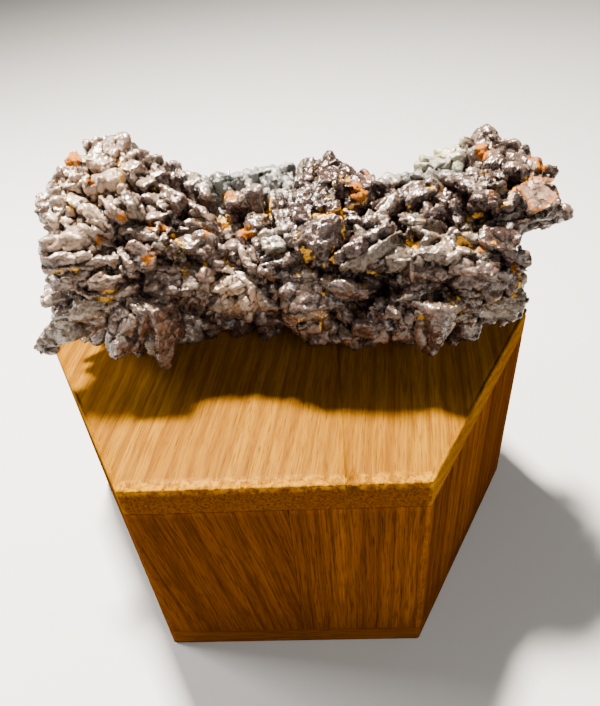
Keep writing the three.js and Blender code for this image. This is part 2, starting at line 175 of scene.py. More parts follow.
MIDDLE_CROWN = [
    ("block", 7, 27, 1.4, 9, 4.2, 7, 90, 0, -10),
    ("block", 7, 0, 1.8, 9, 4, 6, -88, 20, 0),
    ("block", 9.6, -3, 1.6, 8, 4, 6, -92, 20, 0),
    ("tooth", 11, -24, 3.4, 10, 8, 8, -90, 72, 0),
    ("block", 10.6, 8, 1.4, 6, 4, 6, 92, 0, 0),
    ("block", 11.2, 24, 1.2, 6.5, 3.4, 6, 90, 0, 0),
    ("block", 13, 11, 1.2, 7, 3.6, 6, 92, 5, 0),
    ("block", 15.4, 13, 1.6, 6.4, 6, 6.5, 10, 0, 12),
    ("block", 9.2, 24, 1.4, 6, 3.4, 6, 92, 0, 0),
    ("knob", 14.2, -6, -0.2, 6, 4.4, 6, 85, 0, 0),
    ("knob", 15.6, 22, 0.6, 3.6, 3.4, 4.6, 0, 0, 0),
]

MIDDLE_FACE = [
    ("knob", 9.4, 44, 2.2, 9.5, 8, 7.5, -13, 0, 0),
    ("knob", 9.2, 55, 1, 7, 6, 7, 0, 0, 0),
    ("blade", 14.6, 36, 0.8, 7, 4, 6, 45, 10, 15),
    ("blade", 16, 49, 2.4, 13, 4.6, 6.5, -29, 6, 15),
    ("blade", 17.2, 54.5, 2.2, 13, 4, 6, -31, 6, 20),
    ("slab", 7, 66, 0.2, 6.5, 6, 3.4, 0, 0, 35),
    ("block", 3, 49.5, 1.2, 7.5, 6, 6, -8, 0, 18),
    ("slab", 2.6, 57, 1.1, 8, 7, 3.4, -15, 0, 35),
    ("blade", -2.4, 65, 0.8, 8.5, 3.6, 5.5, 67, 8, -10),
    ("slab", 3, 65.5, 0.3, 7.5, 6.5, 3, 0, 0, 45),
    ("tooth", -5.6, 75.5, 2.1, 10.5, 7.5, 7, 170, 12, 0),
    ("tooth", -3.2, 84, 2.3, 10, 7.5, 7, 100, 14, 0),
    ("block", -6.5, 100, -3, 7, 6, 6, 10, 0, 0),
    ("block", -6.5, 61, -0.8, 8, 6.6, 5.6, 15, 0, 10),
    ("knob", 6, 46, -0.4, 5, 4.6, 6, 90, 0, 0),
    ("knob", 7.4, 39, 0.8, 4, 3.6, 5, 90, 0, 0),
    ("block", 18, 34, 0, 5, 4.6, 6, 15, 0, 10),
    ("block", 15, 60, -0.4, 11, 5.6, 6.5, -15, 0, 20),
    ("knob", 0, 63, 0.6, 4.4, 3.2, 6, 92, 0, 0),
    ("tooth", -7.6, 82, 0.4, 8, 5, 6, 130, 10, 0),
    ("block", 0, 84, -0.4, 5, 5, 6, 80, 0, 0),
    ("knob", -8.8, 92, -0.6, 5.5, 4.6, 6, 0, 0, 0),
    ("knob", -5, 52, -1.2, 5, 4, 4.4, 0, 0, 0),
    ("knob", -8, 58, -1.2, 4.6, 4, 4.4, 0, 0, 0),
    ("knob", -5.2, 64, -1, 4, 4, 4.6, 0, 0, 0),
    ("knob", -3.2, 44, -1, 4, 4, 4.6, 0, 0, 0),
]

MIDDLE_FOOT = [
    ("block", 6.6, 82, 2.1, 9.5, 7.5, 8, -6, 0, 22),
    ("block", 6.2, 96, 1.2, 8.5, 9, 8, -6, 0, -8),
    ("blade", 13, 75, 2.3, 9.5, 6, 7, 14, 8, 22),
    ("tooth", 12, 93, 0.8, 9, 5, 6, 70, 8, 0),
    ("knob", 6, 104, 0.6, 7, 6.4, 7, 90, 0, 0),
    ("slab", 20, 98, 0.2, 8.5, 6, 2.6, 0, 0, 40),
    ("knob", 10.2, 106, 0.6, 5, 4.2, 6.5, 10, 0, 0),
    ("knob", 13.4, 109, 0.8, 5, 4, 6.5, 20, 0, 0),
    ("slab", 16, 101, 0.3, 5, 5, 3, 10, 0, 0),
    ("block", 18.4, 104, 0.2, 5, 4, 6, 85, 0, 0),
    ("knob", 19.6, 89, 0.4, 6, 4.6, 6, 0, 0, 0),
    ("block", 21.8, 103, 0, 5.5, 4, 6, 86, 0, 0),
]

RIGHT_BACK = [
    ("block", 28.2, -6, 0.6, 6, 5, 6, 35, 0, 0),
    ("knob", 31.8, -10, 0.6, 6, 5.4, 6, 0, 0, 0),
    ("block", 35, -12, 1, 6, 6, 6.5, 10, 0, 0),
    ("blade", 21, 22, 1.2, 8, 4.2, 5.5, -40, 6, 10),
    ("block", 25.4, 20, 1.1, 6.4, 5, 6, -20, 0, 10),
    ("tooth", 17.6, -4, -0.4, 5, 4.6, 5.5, 70, 0, 0),
    ("block", 21, 4, -0.2, 5, 4.6, 5.5, 35, 0, 0),
    ("knob", 24.6, 2, 0, 5, 4.6, 5.5, 0, 0, 0),
    ("tooth", 28.2, 10, 0, 5, 5, 5.5, 70, 0, 0),
    ("block", 28.8, 24, 0, 4.4, 3.6, 5.5, 45, 0, 0),
    ("knob", 27, 31, 0, 5, 4.4, 5.5, 10, 0, 0),
    ("tooth", 30.6, 36, -0.2, 4.6, 4, 5.5, 80, 0, 0),
    ("block", 24.2, 36, -0.4, 4, 3.6, 5, 35, 0, 0),
    ("blade", 27, 40, -0.3, 5.5, 3.2, 5, 10, 0, 20),
    ("tooth", 23, 46, 0, 5, 3.4, 3.4, -90, 50, 0),
]

RIGHT_HEAD = [
    ("tooth", 38.4, -20, 5.6, 16, 16, 13, -95, 70, 0),
    ("block", 41.2, -16, 0.8, 8, 6, 6, -85, 66, 0),
    ("block", 38, 2, 0.6, 6.5, 4, 6, -75, 0, 0),
    ("block", 41, 4, 0.8, 6.5, 5, 6, 10, 0, 20),
    ("blade", 46, 20, 0.6, 6, 3, 5, -22, 10, 10),
    ("block", 43.4, 38, 0.4, 8.2, 6.6, 8, 7, 0, 0),
    ("knob", 45.6, 46, -1.4, 9, 5, 7, 4, 4, 0),
    ("blade", 37.4, 19, 0.8, 6, 3.8, 6, -20, 6, 20),
    ("tooth", 33.4, 11, 2, 11, 8, 8, -165, 16, 0),
    ("block", 34.4, 19, -0.4, 6.4, 5.4, 7, 20, 0, 0),
    ("blade", 39.4, 51, -0.4, 9.5, 4.4, 7, -15, 0, 10),
    ("blade", 39.4, 45, -0.6, 10, 4.2, 7, -16, 0, 10),
    ("blade", 43.6, -8, 0.6, 8, 3, 5, -60, 20, 0),
    ("block", 43.4, 12, 0, 5.5, 5, 7, 5, 0, 0),
    ("knob", 40.8, 17.5, 0.6, 4.8, 4, 6, 15, 0, 0),
    ("knob", 37.2, 25.5, 0.2, 5, 3.8, 6, 15, 0, 0),
    ("block", 35.4, 32, 0.2, 4.6, 3.8, 6, 10, 0, 0),
    ("knob", 39, 36, 0, 5.4, 4.4, 6, 15, 0, 0),
]

RIGHT_LEDGES = [
    ("block", 32, 56.5, 0.6, 6, 5.4, 5, 16, 0, 30),
    ("block", 27.6, 55, 1.4, 7, 6, 5.4, 16, 0, 30),
    ("block", 37, 58, 1.3, 7, 6, 5, 12, 0, 30),
    ("block", 22.4, 57, 0.4, 6.4, 5.4, 5, 2, 0, 30),
    ("block", 26.6, 66, 0.2, 5.4, 5, 4.4, 8, 0, 30),
    ("block", 33, 66.5, 1.4, 8, 6, 5, 11, 0, 30),
    ("blade", 34.2, 75, 0.8, 11, 6, 5.4, 14, 0, 25),
    ("block", 34.4, 82, -0.6, 9, 6, 6, 12, 0, 20),
    ("tooth", 39.6, 101, 0, 8, 4.4, 6, 10, 10, 0),
    ("block", 38.5, 108, -1.5, 8, 8, 7, 10, 0, 0),
    ("blade", 32.6, 99, 0.2, 6.5, 3.4, 5.5, -14, 0, 20),
    ("tooth", 27.4, 106, 4, 14, 12, 9, 92, 14, 0),
    ("tooth", 23.5, 61.5, 0.8, 4.6, 3, 3.4, -85, 30, 0),
    ("tooth", 36.6, 65, 0.6, 5, 3.4, 3.6, -90, 40, 0),
    ("knob", 40, 70, -0.4, 4, 3.6, 6, 13, 0, 0),
    ("knob", 39.6, 75.5, -0.2, 4, 3.4, 6, 25, 0, 0),
    ("blade", 40, 86, 0, 6.5, 3, 6, 98, 0, 0),
    ("slab", 23, 78, -0.2, 6.5, 6, 3, -2, 0, 40),
    ("block", 25, 72, -1.4, 8, 5, 5, 0, 0, 20),
    ("knob", 23.6, 92, -0.2, 4.6, 3.6, 5.5, 0, 0, 0),
    ("knob", 26.2, 87, 0, 5.4, 4.6, 6, 90, 0, 0),
    ("block", 32, 92, -0.8, 6, 5, 6, 10, 0, 0),
]

# Clefts between clusters of crystals, as bent lines on the reading plane: half width, depth,
# then the points, right and up in millimetres.
CLEFTS = [
    (1.3, 1.6, [(0.6, 19.6), (1.9, 16.9), (4.6, 15.6), (8.3, 14.6), (13.9, 13.1), (17.4, 11.0)]),
    (1.5, 1.4, [(-27.8, 9.8), (-23.7, 7.6), (-19.3, 6.9)]),
    (1.1, 1.5, [(-36.4, 21.5), (-33.4, 19.7), (-31.2, 18.2)]),
    (0.9, 1.2, [(-39.4, 11.6), (-34.9, 12.0), (-31.5, 13.5)]),
    (1.4, 1.8, [(23.6, 10.4), (27.6, 10.9)]),
    (0.9, 1.1, [(29.6, 21.6), (32.4, 19.7), (37.1, 17.4)]),
    (1.0, 1.1, [(-5.2, 11.0), (-3.0, 9.5), (-1.9, 5.8)]),
    (0.9, 1, [(-22.6, 21.5), (-18.9, 22.4)]),
    (1.0, 1.3, [(18.3, 21.4), (21.9, 19.3), (25.2, 20.2)]),
    (1.3, 0.9, [(-14.4, 17.3), (-10.2, 15.0), (-6.6, 12.6)]),
    (0.9, 0.6, [(9.0, 10.2), (13.2, 8.0), (14.5, 4.3)]),
    (1.2, 1.2, [(-15.8, 30.6), (-12.0, 26.4), (-9.4, 21.0)]),
    (1.0, 1, [(14.6, 27.0), (17.6, 30.6)]),
    (1.0, 1, [(-27.6, 30.4), (-24.0, 26.4), (-25.6, 21.8)]),
    (0.9, 0.9, [(31.0, 29.0), (33.0, 25.2), (36.4, 24.4)]),
]

# Veins of yellow ochre, as bent lines on the same plane: half width, then the points.
VEINS = [
    (0.32, [(-33.6, 37.2), (-33.6, 35.6), (-33.0, 33.5), (-33.4, 30.6)]),
    (0.20, [(-28.1, 31.4), (-26.7, 30.1)]),
    (0.22, [(-46.1, 14.7), (-44.0, 15.3), (-41.3, 15.4)]),
    (0.24, [(-40.5, 15.0), (-38.1, 14.7), (-35.5, 14.2)]),
    (0.26, [(-43.2, 29.0), (-42.6, 27.4), (-42.0, 25.8)]),
    (0.30, [(12.4, 28.4), (9.8, 27.3), (7.2, 26.5), (5.3, 26.0), (3.4, 25.2), (1.6, 25.7)]),
    (0.22, [(7.3, 26.5), (7.7, 24.9), (8.3, 22.8), (8.2, 20.7)]),
    (0.24, [(6.4, 19.4), (6.1, 17.5), (4.5, 16.2)]),
    (0.18, [(-1.1, 21.2), (0.0, 20.4)]),
    (0.14, [(0.0, 14.9), (-0.1, 13.5), (0.0, 11.9)]),
    (0.18, [(5.0, 12.7), (4.8, 11.4), (4.4, 10.4)]),
    (0.16, [(4.5, 9.6), (4.4, 7.2)]),
    (0.18, [(-0.5, 5.6), (0.8, 6.6), (2.1, 7.2), (3.6, 6.9), (3.8, 5.6), (4.0, 4.3)]),
    (0.12, [(11.9, 14.9), (13.4, 15.1), (14.8, 14.7)]),
    (0.14, [(6.4, 32.1), (6.2, 30.0), (6.4, 28.1)]),
    (0.26, [(-15.9, 25.7), (-14.3, 24.4)]),
    (0.28, [(-5.6, 28.6), (-5.8, 26.0), (-7.4, 24.7)]),
    (0.24, [(41.8, 32.1), (40.5, 31.0), (39.2, 30.0), (38.6, 27.6), (36.5, 26.5)]),
    (0.14, [(19.9, 28.1), (20.0, 25.7), (20.1, 23.1)]),
    (0.26, [(41.1, 14.6), (40.7, 12.5), (40.0, 10.6), (38.4, 9.4), (35.8, 9.8)]),
    (0.24, [(28.3, 5.3), (29.7, 4.3), (30.7, 3.6)]),
    (0.16, [(34.4, 33.9), (34.2, 32.3)]),
    (0.20, [(38.9, 35.5), (40.3, 35.0)]),
    (0.18, [(35.0, 20.6), (36.8, 20.8)]),
    (0.22, [(25.7, 20.8), (27.3, 21.1)]),
]

# Patches of dust, the same way: right, up, radius.
OCHRE_SPOTS = [
    (-36.0, 10.2, 0.58), (-15.1, 24.9, 0.65), (-21.5, 20.2, 0.58), (-20.5, 15.5, 0.43),
    (-18.1, 16.3, 0.58), (-13.8, 28.2, 0.5), (-13.2, 23.1, 0.36), (1.4, 18.3, 0.72),
    (-3.7, 4.1, 0.43), (31.8, 25.5, 0.65), (30.3, 22.0, 0.79), (21.5, 20.3, 0.72),
    (28.6, 8.8, 0.65), (24.9, 30.9, 0.5), (22.3, 6.8, 0.36), (-6.4, 24.4, 0.58),
]
RUST_SPOTS = [
    (-43.4, 35.6, 0.8), (-39.3, 31.8, 0.8), (-33.2, 25.5, 0.8), (-37.1, 20.8, 0.5),
    (-25.4, 22.9, 0.6), (-17.2, 22.3, 0.6), (-27.9, 17.6, 1.0), (-12.7, 29.3, 0.8),
    (-10.1, 22.4, 1.3), (10.5, 29.8, 1.4), (33.6, 37.6, 1.3), (44.6, 34.7, 1.1),
    (33.5, 19.4, 0.6), (40.0, 15.5, 0.6), (12.3, 33.0, 0.5), (-42.2, 36.6, 1.9),
    (43.0, 36.0, 0.5), (48.6, 33.0, 0.7), (36.0, 29.4, 0.4), (-28.0, 23.6, 0.4),
]

# Patches of painted light and painted shade, the same way: right, up, radius, then how much paler
# or darker.
SHADES = [
    (5.8, 31.5, 7.0, -1.3), (3.7, 22.2, 5.0, -0.6), (13.6, 19.7, 6.0, -0.4),
    (24.1, 27.1, 5.0, -0.6), (35.8, 29.0, 6.5, -0.6), (37.7, 22.2, 5.0, -0.5),
    (37.7, 11.1, 5.0, -0.2), (-3.7, 19.7, 4.0, -0.5), (-22.9, 22.2, 4.0, -0.3),
    (-41.4, 29.0, 7.0, 0.9), (-34.3, 35.5, 9.0, 0.9), (-44.7, 21.6, 5.0, 0.9),
    (-19.2, 25.9, 5.0, 0.2), (-13.5, 12.5, 4.5, 1.3), (-9.5, 9.0, 3.5, 1.0),
    (-41.4, 6.1, 6.0, 0.5), (-34.0, 17.0, 6.0, 0.3), (28.4, 18.5, 5.0, 0.3),
    (-24.1, 0.6, 6.0, 0.1), (-36.0, 13.0, 13.0, 0.45),
]

# The one broken face, a flat scar near the right-hand end: its corners in the same plane.
SCAR = np.array([
    (40.5, 30.7), (42.6, 32.6), (47.7, 32.1), (49.4, 31.0), (45.0, 26.6), (43.4, 26.1),
])

# ------------------------------------------------------------------ noise


def hashed(cell, seed):
    """A number from 0 to 1 for each whole-number cell: its three numbers times three large
    primes and the seed times a fourth are combined bit by bit, then folded over twice."""
    c = cell.astype(np.int64)
    h = (c[..., 0] * 73856093) ^ (c[..., 1] * 19349663) ^ (c[..., 2] * 83492791)
    h = (h ^ (seed * 2654435761)) & 0xFFFFFFFF
    for _ in range(2):
        h = ((h ^ (h >> 16)) * 0x45D9F3B) & 0xFFFFFFFF
    return (h ^ (h >> 16)) / 4294967296.0


def noise(points, size, seed):
    """Smooth noise from -1 to 1: the numbers of the eight corners of a point's cell, each
    weighted by 3t^2 - 2t^3 of how near the point lies to it along each axis."""
    p = points / size
    base = np.floor(p)
    t = p - base
    t = t * t * (3 - 2 * t)
    total = np.zeros(len(points))
    for corner in np.ndindex(2, 2, 2):
        step = np.array(corner)
        weight = np.prod(np.where(step == 1, t, 1 - t), axis=-1)
        total += weight * hashed(base + step, seed)
    return 2 * total - 1


def lumps(points, seed):
    """The distances to the nearest and the next nearest of one random spot in each unit cell,
    and the height there of a flat facet through the nearest spot, leaning at random: the offset
    from the spot times the spot's own random vector. Distance is (|x|^3 + |y|^3 + |z|^3)^(1/3),
    so that the cells come out blocky."""
    base = np.floor(points)
    first = np.full(len(points), 9.0)
    second = first.copy()
    nearest = np.zeros_like(points)
    for corner in np.ndindex(3, 3, 3):
        cell = base + np.array(corner) - 1
        spot = cell + np.stack([hashed(cell, seed + k) for k in range(3)], axis=-1)
        away = (np.abs(points - spot) ** 3).sum(-1) ** (1 / 3)
        nearest = np.where((away < first)[:, None], spot, nearest)
        second = np.minimum(second, np.maximum(first, away))
        first = np.minimum(first, away)
    lean = np.stack([hashed(np.round(nearest * 64), seed + 7 + k) for k in range(3)], axis=-1)
    return first, second, ((points - nearest) * (2 * lean - 1)).sum(-1)


def ramp(value, low, high):
    """0 below low, 1 above high and 3t^2 - 2t^3 between them."""
    t = np.clip((value - low) / (high - low), 0, 1)
    return t * t * (3 - 2 * t)


# ------------------------------------------------------------------ the log and its crystals


def log_at(station):
    """Axis y, axis z and radius at a station, straight between the rows of LOG."""
    return tuple(np.interp(station, LOG[:, 0], LOG[:, k]) for k in (1, 2, 3))


def on_log(station, clock, lift):
    """The point at a station and clock angle: the axis plus (radius + lift) times the outward
    direction (0, -sin clock, cos clock)."""
    y, z, radius = log_at(station)
    a = np.radians(clock)
    reach = radius + lift
    return np.stack([station, y - reach * np.sin(a), z + reach * np.cos(a)], axis=-1)


def clock_of(points):
    """The clock angle and the height over the mean surface of each point."""
    y, z, radius = log_at(points[:, 0])
    dy, dz = points[:, 1] - y, points[:, 2] - z
    return np.degrees(np.arctan2(-dy, dz)), np.hypot(dy, dz) - radius


def planes_of(kind, rng):
    """The planes that bound a crystal of half sizes 1, as rows (nx, ny, nz, k): it holds the
    points whose dot product with n is under k. x runs across it, y along it, z out of it."""
    signs = [(a, b) for a in (-1, 1) for b in (-1, 1)]
    ends = [(0, 1, 0, 0.96), (0, -1, 0, 1.0)]
    if kind == "blade":
        sides = [(a, 0.75, b, 1.16) for a, b in signs] + [(a, -0.3, b, 1.2) for a, b in signs]
        sides += [(a, 0, 0, 0.9) for a in (-1, 1)] + [(0, 0, a, 0.86) for a in (-1, 1)]
    elif kind == "slab":
        sides = [(a, b * 0.22, 0, 0.9) for a, b in signs] + [(0, b * 0.2, a, 0.9) for a, b in signs]
    elif kind == "block":
        sides = [(a, -0.06, 0, 0.82) for a in (-1, 1)] + [(0, -0.06, a, 0.82) for a in (-1, 1)]
    elif kind == "tooth":
        sides = [(a, 0.5, b, 0.72) for a, b in signs]
    else:
        sides = [(a, 0, 0, 0.97) for a in (-1, 1)] + [(0, 0, a, 0.97) for a in (-1, 1)]
    cuts = []
    count = 12 if kind == "knob" else 3 if kind == "tooth" else 6
    for _ in range(count):
        n = rng.normal(size=3)
        n /= np.linalg.norm(n)
        corner = 1.0 if kind == "knob" else 0.86 * np.abs(n).sum()
        cuts.append((*n, corner * rng.uniform(0.78, 0.94)))
    rows = np.array(sides + ends + cuts, float)
    return np.vstack([rows, np.tile([0, 0, 1, 9.0], (20 - len(rows), 1))])


class Crystals:
    """Many crystals as whole arrays: centres, axes as rows (across, along, out), half sizes,
    bounding planes, and how smooth their faces stay, from 0 to 1."""

    def __init__(self, centre, axes, half, planes, smooth):
        self.centre, self.axes, self.half = centre, axes, half
        self.planes, self.smooth = planes, smooth

    def __len__(self):
        return len(self.centre)

    def take(self, which):
        return Crystals(*(v[which] for v in (
            self.centre, self.axes, self.half, self.planes, self.smooth)))

    @staticmethod
    def joined(sets):
        return Crystals(*(np.concatenate([getattr(s, key) for s in sets]) for key in (
            "centre", "axes", "half", "planes", "smooth")))


def seated(rows, rng):
    """Crystals from rows. The long axis leaves the surface by the tilt; across is along x out,
    and the face is across x along, both turned about the long axis by the shelf angle. The
    centre lies as far under the crest as half the crystal reaches outwards."""
    kinds = [row[0] for row in rows]
    number = np.array([row[1:] for row in rows], float)
    station, clock, lift, length, width, thickness = number[:, :6].T
    heading, tilt, shelf = np.radians(number[:, 6:9]).T
    a = np.radians(clock)
    zero = np.zeros_like(a)
    out = np.stack([zero, -np.sin(a), np.cos(a)], -1)
    down = np.stack([zero, -np.cos(a), -np.sin(a)], -1)
    flat = np.cos(heading)[:, None] * np.array([1.0, 0, 0]) + np.sin(heading)[:, None] * down
    along = np.cos(tilt)[:, None] * flat + np.sin(tilt)[:, None] * out
    across = np.cross(along, out)
    across /= np.linalg.norm(across, axis=1, keepdims=True)
    face = np.cross(across, along)
    turn = np.where((across * down).sum(1) > 0, -shelf, shelf)[:, None]
    across, face = (
        across * np.cos(turn) - face * np.sin(turn),
        face * np.cos(turn) + across * np.sin(turn),
    )
    axes = np.stack([across, along, face], axis=1)
    half = np.stack([SLIM * width, 0.93 * length, thickness], -1) / 2
    reach = (half * np.abs((axes * out[:, None, :]).sum(-1))).sum(-1)
    centre = on_log(station, clock, lift + CREST - reach)
    planes = np.stack([planes_of(kind, rng) for kind in kinds])
    smooth = np.array([SMOOTH.get(kind, ROUGH) for kind in kinds])
    return Crystals(centre, axes, half, planes, smooth)


def gauge(direction, planes, sharpness):
    """How many times its own size a crystal would have to be for a direction's end to lie on
    it: the soft largest, (sum of s^p)^(1/p), of s = direction . n / k over its planes."""
    share = np.einsum("cvi,cki->cvk", direction, planes[:, :, :3]) / planes[:, None, :, 3]
    return (np.clip(share, 0, None) ** sharpness).sum(-1) ** (1 / sharpness)


def crystal_surfaces(crystals, rows, columns, sharpness):
    """Closed surfaces of all crystals at once, on a grid of rows x columns directions: polar
    angle from the long axis, then angle round it. A grid point is direction / gauge, stretched
    by the half sizes, turned to the axes and moved to the centre. The last column joins the
    first, and each pole is one row of equal points."""
    polar = np.linspace(0, math.pi, rows)[:, None]
    round_ = np.linspace(0, 2 * math.pi, columns, endpoint=False)[None, :]
    grid = np.stack([
        np.sin(polar) * np.cos(round_), np.cos(polar) + 0 * round_, np.sin(polar) * np.sin(round_),
    ], -1).reshape(-1, 3)
    direction = np.broadcast_to(grid, (len(crystals), *grid.shape))
    unit = direction / gauge(direction, crystals.planes, sharpness)[..., None]
    points = np.einsum("cvi,cij->cvj", unit * crystals.half[:, None, :], crystals.axes)
    points = (points + crystals.centre[:, None, :]).reshape(-1, 3)
    faces = grid_faces(rows, columns)
    start = (np.arange(len(crystals)) * rows * columns)[:, None, None]
    return points, (faces[None] + start).reshape(-1, 4)


def grid_faces(rows, columns):
    """Quads of a grid whose last column joins its first, facing away from the axis."""
    r, c = np.meshgrid(np.arange(rows - 1), np.arange(columns), indexing="ij")
    n = (c + 1) % columns
    near, far = r * columns, (r + 1) * columns
    return np.stack([near + c, near + n, far + n, far + c], -1).reshape(-1, 4)


def grown_on(parents, count, rng):
    """Smaller crystals in nearly parallel growth on each parent: the centre of each lies
    just under the parent's surface in a random direction, and its axes are a few degrees off."""
    index = np.repeat(np.arange(len(parents)), count)
    direction = rng.normal(size=(len(index), 3))
    direction[:, 2] = np.abs(direction[:, 2]) * 0.8
    direction /= np.linalg.norm(direction, axis=1, keepdims=True)
    base = parents.take(index)
    reach = gauge(direction[:, None, :], base.planes, 14)[:, 0]
    spot = np.einsum("ci,cij->cj", direction / reach[:, None] * base.half, base.axes)
    half = 0.75 * base.half + 0.25 * base.half.mean(1, keepdims=True)
    half = half * rng.uniform(0.34, 0.55, size=(len(index), 3))
    half = np.clip(half, [0.9, 1.1, 0.8], [1.9, 3.2, 1.9])
    lean = rng.normal(scale=0.14, size=(len(index), 3))
    axes = base.axes + np.cross(lean[:, None, :], base.axes)
    axes /= np.linalg.norm(axes, axis=2, keepdims=True)
    planes = np.stack([
        planes_of(kind, rng) for kind in rng.choice(["block", "blade", "tooth"], len(index))
    ])
    centre = base.centre + spot * (1 - 0.25 * half.min(1) / base.half.min(1))[:, None]
    return Crystals(centre, axes, half, planes, base.smooth)


def between(count, stations, clocks, lifts, leaders, rng):
    """Rows of small crystals that fill the surface between the main ones. Each takes the
    heading of the nearest main crystal and strays from it by up to 30 degrees."""
    station = rng.uniform(*stations, count)
    clock = rng.uniform(*clocks, count)
    led = np.array([row[1:] for row in leaders], float)
    gap = (led[None, :, 0] - station[:, None]) ** 2
    gap = gap + ((led[None, :, 1] - clock[:, None]) * 0.3) ** 2
    heading = led[gap.argmin(1), 6] + rng.uniform(-30, 30, count)
    kind = rng.choice(["block", "blade", "knob", "tooth"], count, p=[0.5, 0.25, 0.1, 0.15])
    lift = rng.uniform(*lifts, count)
    length, width, thickness = rng.uniform((2.6, 2.0, 2.6), (5.2, 3.6, 4.4), (count, 3)).T
    tilt, shelf = rng.uniform((0, 0), (28, 30), (count, 2)).T
    return list(zip(kind, station, clock, lift, length, width, thickness, heading, tilt, shelf))


def hidden_rows(rng):
    """Rows for the sides that no listed crystal covers: nine lines of crystals along the
    log from behind the skyline to the underside, and rings of them over its two ends."""
    rows = []
    for clock in (-48, -68, -90, -112, -134, -158, 178, 160, 140):
        for station in np.linspace(-32, 41, 13):
            arch = 3.5 if clock == 140 and -16 < station < 1 else 0
            rows.append((
                rng.choice(["block", "blade", "slab", "tooth"]), station + rng.uniform(-2, 2),
                clock + rng.uniform(-8, 8), rng.uniform(-1.3, -0.1) - arch, rng.uniform(5, 9),
                rng.uniform(4, 7), rng.uniform(5, 7), rng.uniform(0, 360), rng.uniform(0, 16), 0,
            ))
    for station, heading in ((-35.0, 180), (37.5, 0)):
        for count, lift in ((11, -3.5), (8, -8.0), (4, -12.5)):
            for clock in np.arange(count) * 360 / count:
                rows.append((
                    rng.choice(["block", "blade", "tooth"]), station + rng.uniform(-1, 1),
                    clock + rng.uniform(-12, 12), lift, rng.uniform(7, 10), rng.uniform(4, 6),
                    rng.uniform(4.5, 6), heading + rng.uniform(-30, 30), rng.uniform(0, 12), 0,
                ))
    return rows


def core_surface(low, high, inset, shift, rows=60, columns=72):
    """The matrix between two stations: rings of the log's radius less the inset, closing at
    both ends as (1 - |2t - 1|^6)^(1/2), with lumps of noise; shift moves it along y."""
    t = np.linspace(0, 1, rows)[:, None]
    a = np.linspace(0, 2 * math.pi, columns, endpoint=False)[None, :]
    station = (low + (high - low) * t) + 0 * a
    y, z, radius = log_at(station)
    close = np.sqrt(np.clip(1 - np.abs(2 * t - 1) ** 6, 0, 1))
    radius = (radius - inset) * close
    points = np.stack([station, y + shift - radius * np.sin(a), z + radius * np.cos(a)], -1)
    points = points.reshape(-1, 3)
    points += noise(points, 3.0, SEED + 3)[:, None] * np.array([0, 0.5, 0.5])
    return points, grid_faces(rows, columns)[:, ::-1]


# ------------------------------------------------------------------ meshes


def linked(name, data):
    """A new object for a mesh, light or camera, linked to the scene."""
    obj = bpy.data.objects.new(name, data)
    bpy.context.scene.collection.objects.link(obj)
    return obj


def store(obj, **values):
    """Keeps named numbers on the points of a mesh, for its material to read."""
    for key, numbers in values.items():
        attribute = obj.data.attributes.new(key, "FLOAT", "POINT")
        attribute.data.foreach_set("value", numbers.astype(np.float32))


def put_mesh(name, points, faces):
    """A mesh object from points in millimetres and faces, smooth shaded, at the origin. A face
    whose last two corners are the same point is a triangle."""
    mesh = bpy.data.meshes.new(name)
    corner = faces[:, 2] == faces[:, 3]
    faces = faces[~corner].tolist() + faces[corner, :3].tolist()
    mesh.from_pydata((points * MM).tolist(), [], faces)
    mesh.validate()
    mesh.shade_smooth()
    return linked(name, mesh)


def main_shell(points, edges, quads):
    """The largest connected part of a mesh: each point takes the lowest label next to it, then
    that label's own label, until nothing changes. Loose bits are left out."""
    label = np.arange(len(points))
    a, b = edges.T
    while True:
        low = np.minimum(label[a], label[b])
        spread = label.copy()
        np.minimum.at(spread, a, low)
        np.minimum.at(spread, b, low)
        spread = spread[spread]
        if (spread == label).all():
            break
        label = spread
    kept = label == np.bincount(label).argmax()
    index = np.cumsum(kept) - 1
    return points[kept], index[edges[kept[edges[:, 0]]]], index[quads[kept[quads[:, 0]]]]


def one_skin(name, surfaces, voxel):
    """One closed skin round surfaces that pass through each other, by a voxel remesh."""
    start = 0
    points, faces = [], []
    for p, f in surfaces:
        points.append(p)
        faces.append(f + start)
        start += len(p)
    raw = bpy.data.meshes.new(name + "_raw")
    points, faces = np.concatenate(points), np.concatenate(faces)
    raw.vertices.add(len(points))
    raw.vertices.foreach_set("co", points.astype(np.float32).ravel())
    raw.loops.add(faces.size)
    raw.loops.foreach_set("vertex_index", faces.astype(np.int32).ravel())
    raw.polygons.add(len(faces))
    raw.polygons.foreach_set("loop_start", np.arange(0, faces.size, 4, dtype=np.int32))
    raw.update(calc_edges=True)
    obj = linked(name + "_raw", raw)
    remesh = obj.modifiers.new("skin", "REMESH")
    remesh.mode = "VOXEL"
    remesh.voxel_size = voxel
    skin = bpy.data.meshes.new_from_object(obj.evaluated_get(bpy.context.evaluated_depsgraph_get()))
    bpy.data.objects.remove(obj)
    bpy.data.meshes.remove(raw)
    points = np.empty(len(skin.vertices) * 3, np.float32)
    skin.vertices.foreach_get("co", points)
    edges = np.empty(len(skin.edges) * 2, np.int32)
    skin.edges.foreach_get("vertices", edges)
    loops = np.empty(len(skin.loops), np.int32)
    skin.loops.foreach_get("vertex_index", loops)
    bpy.data.meshes.remove(skin)
    points = points.reshape(-1, 3).astype(float)
    return main_shell(points, edges.reshape(-1, 2), loops.reshape(-1, 4))


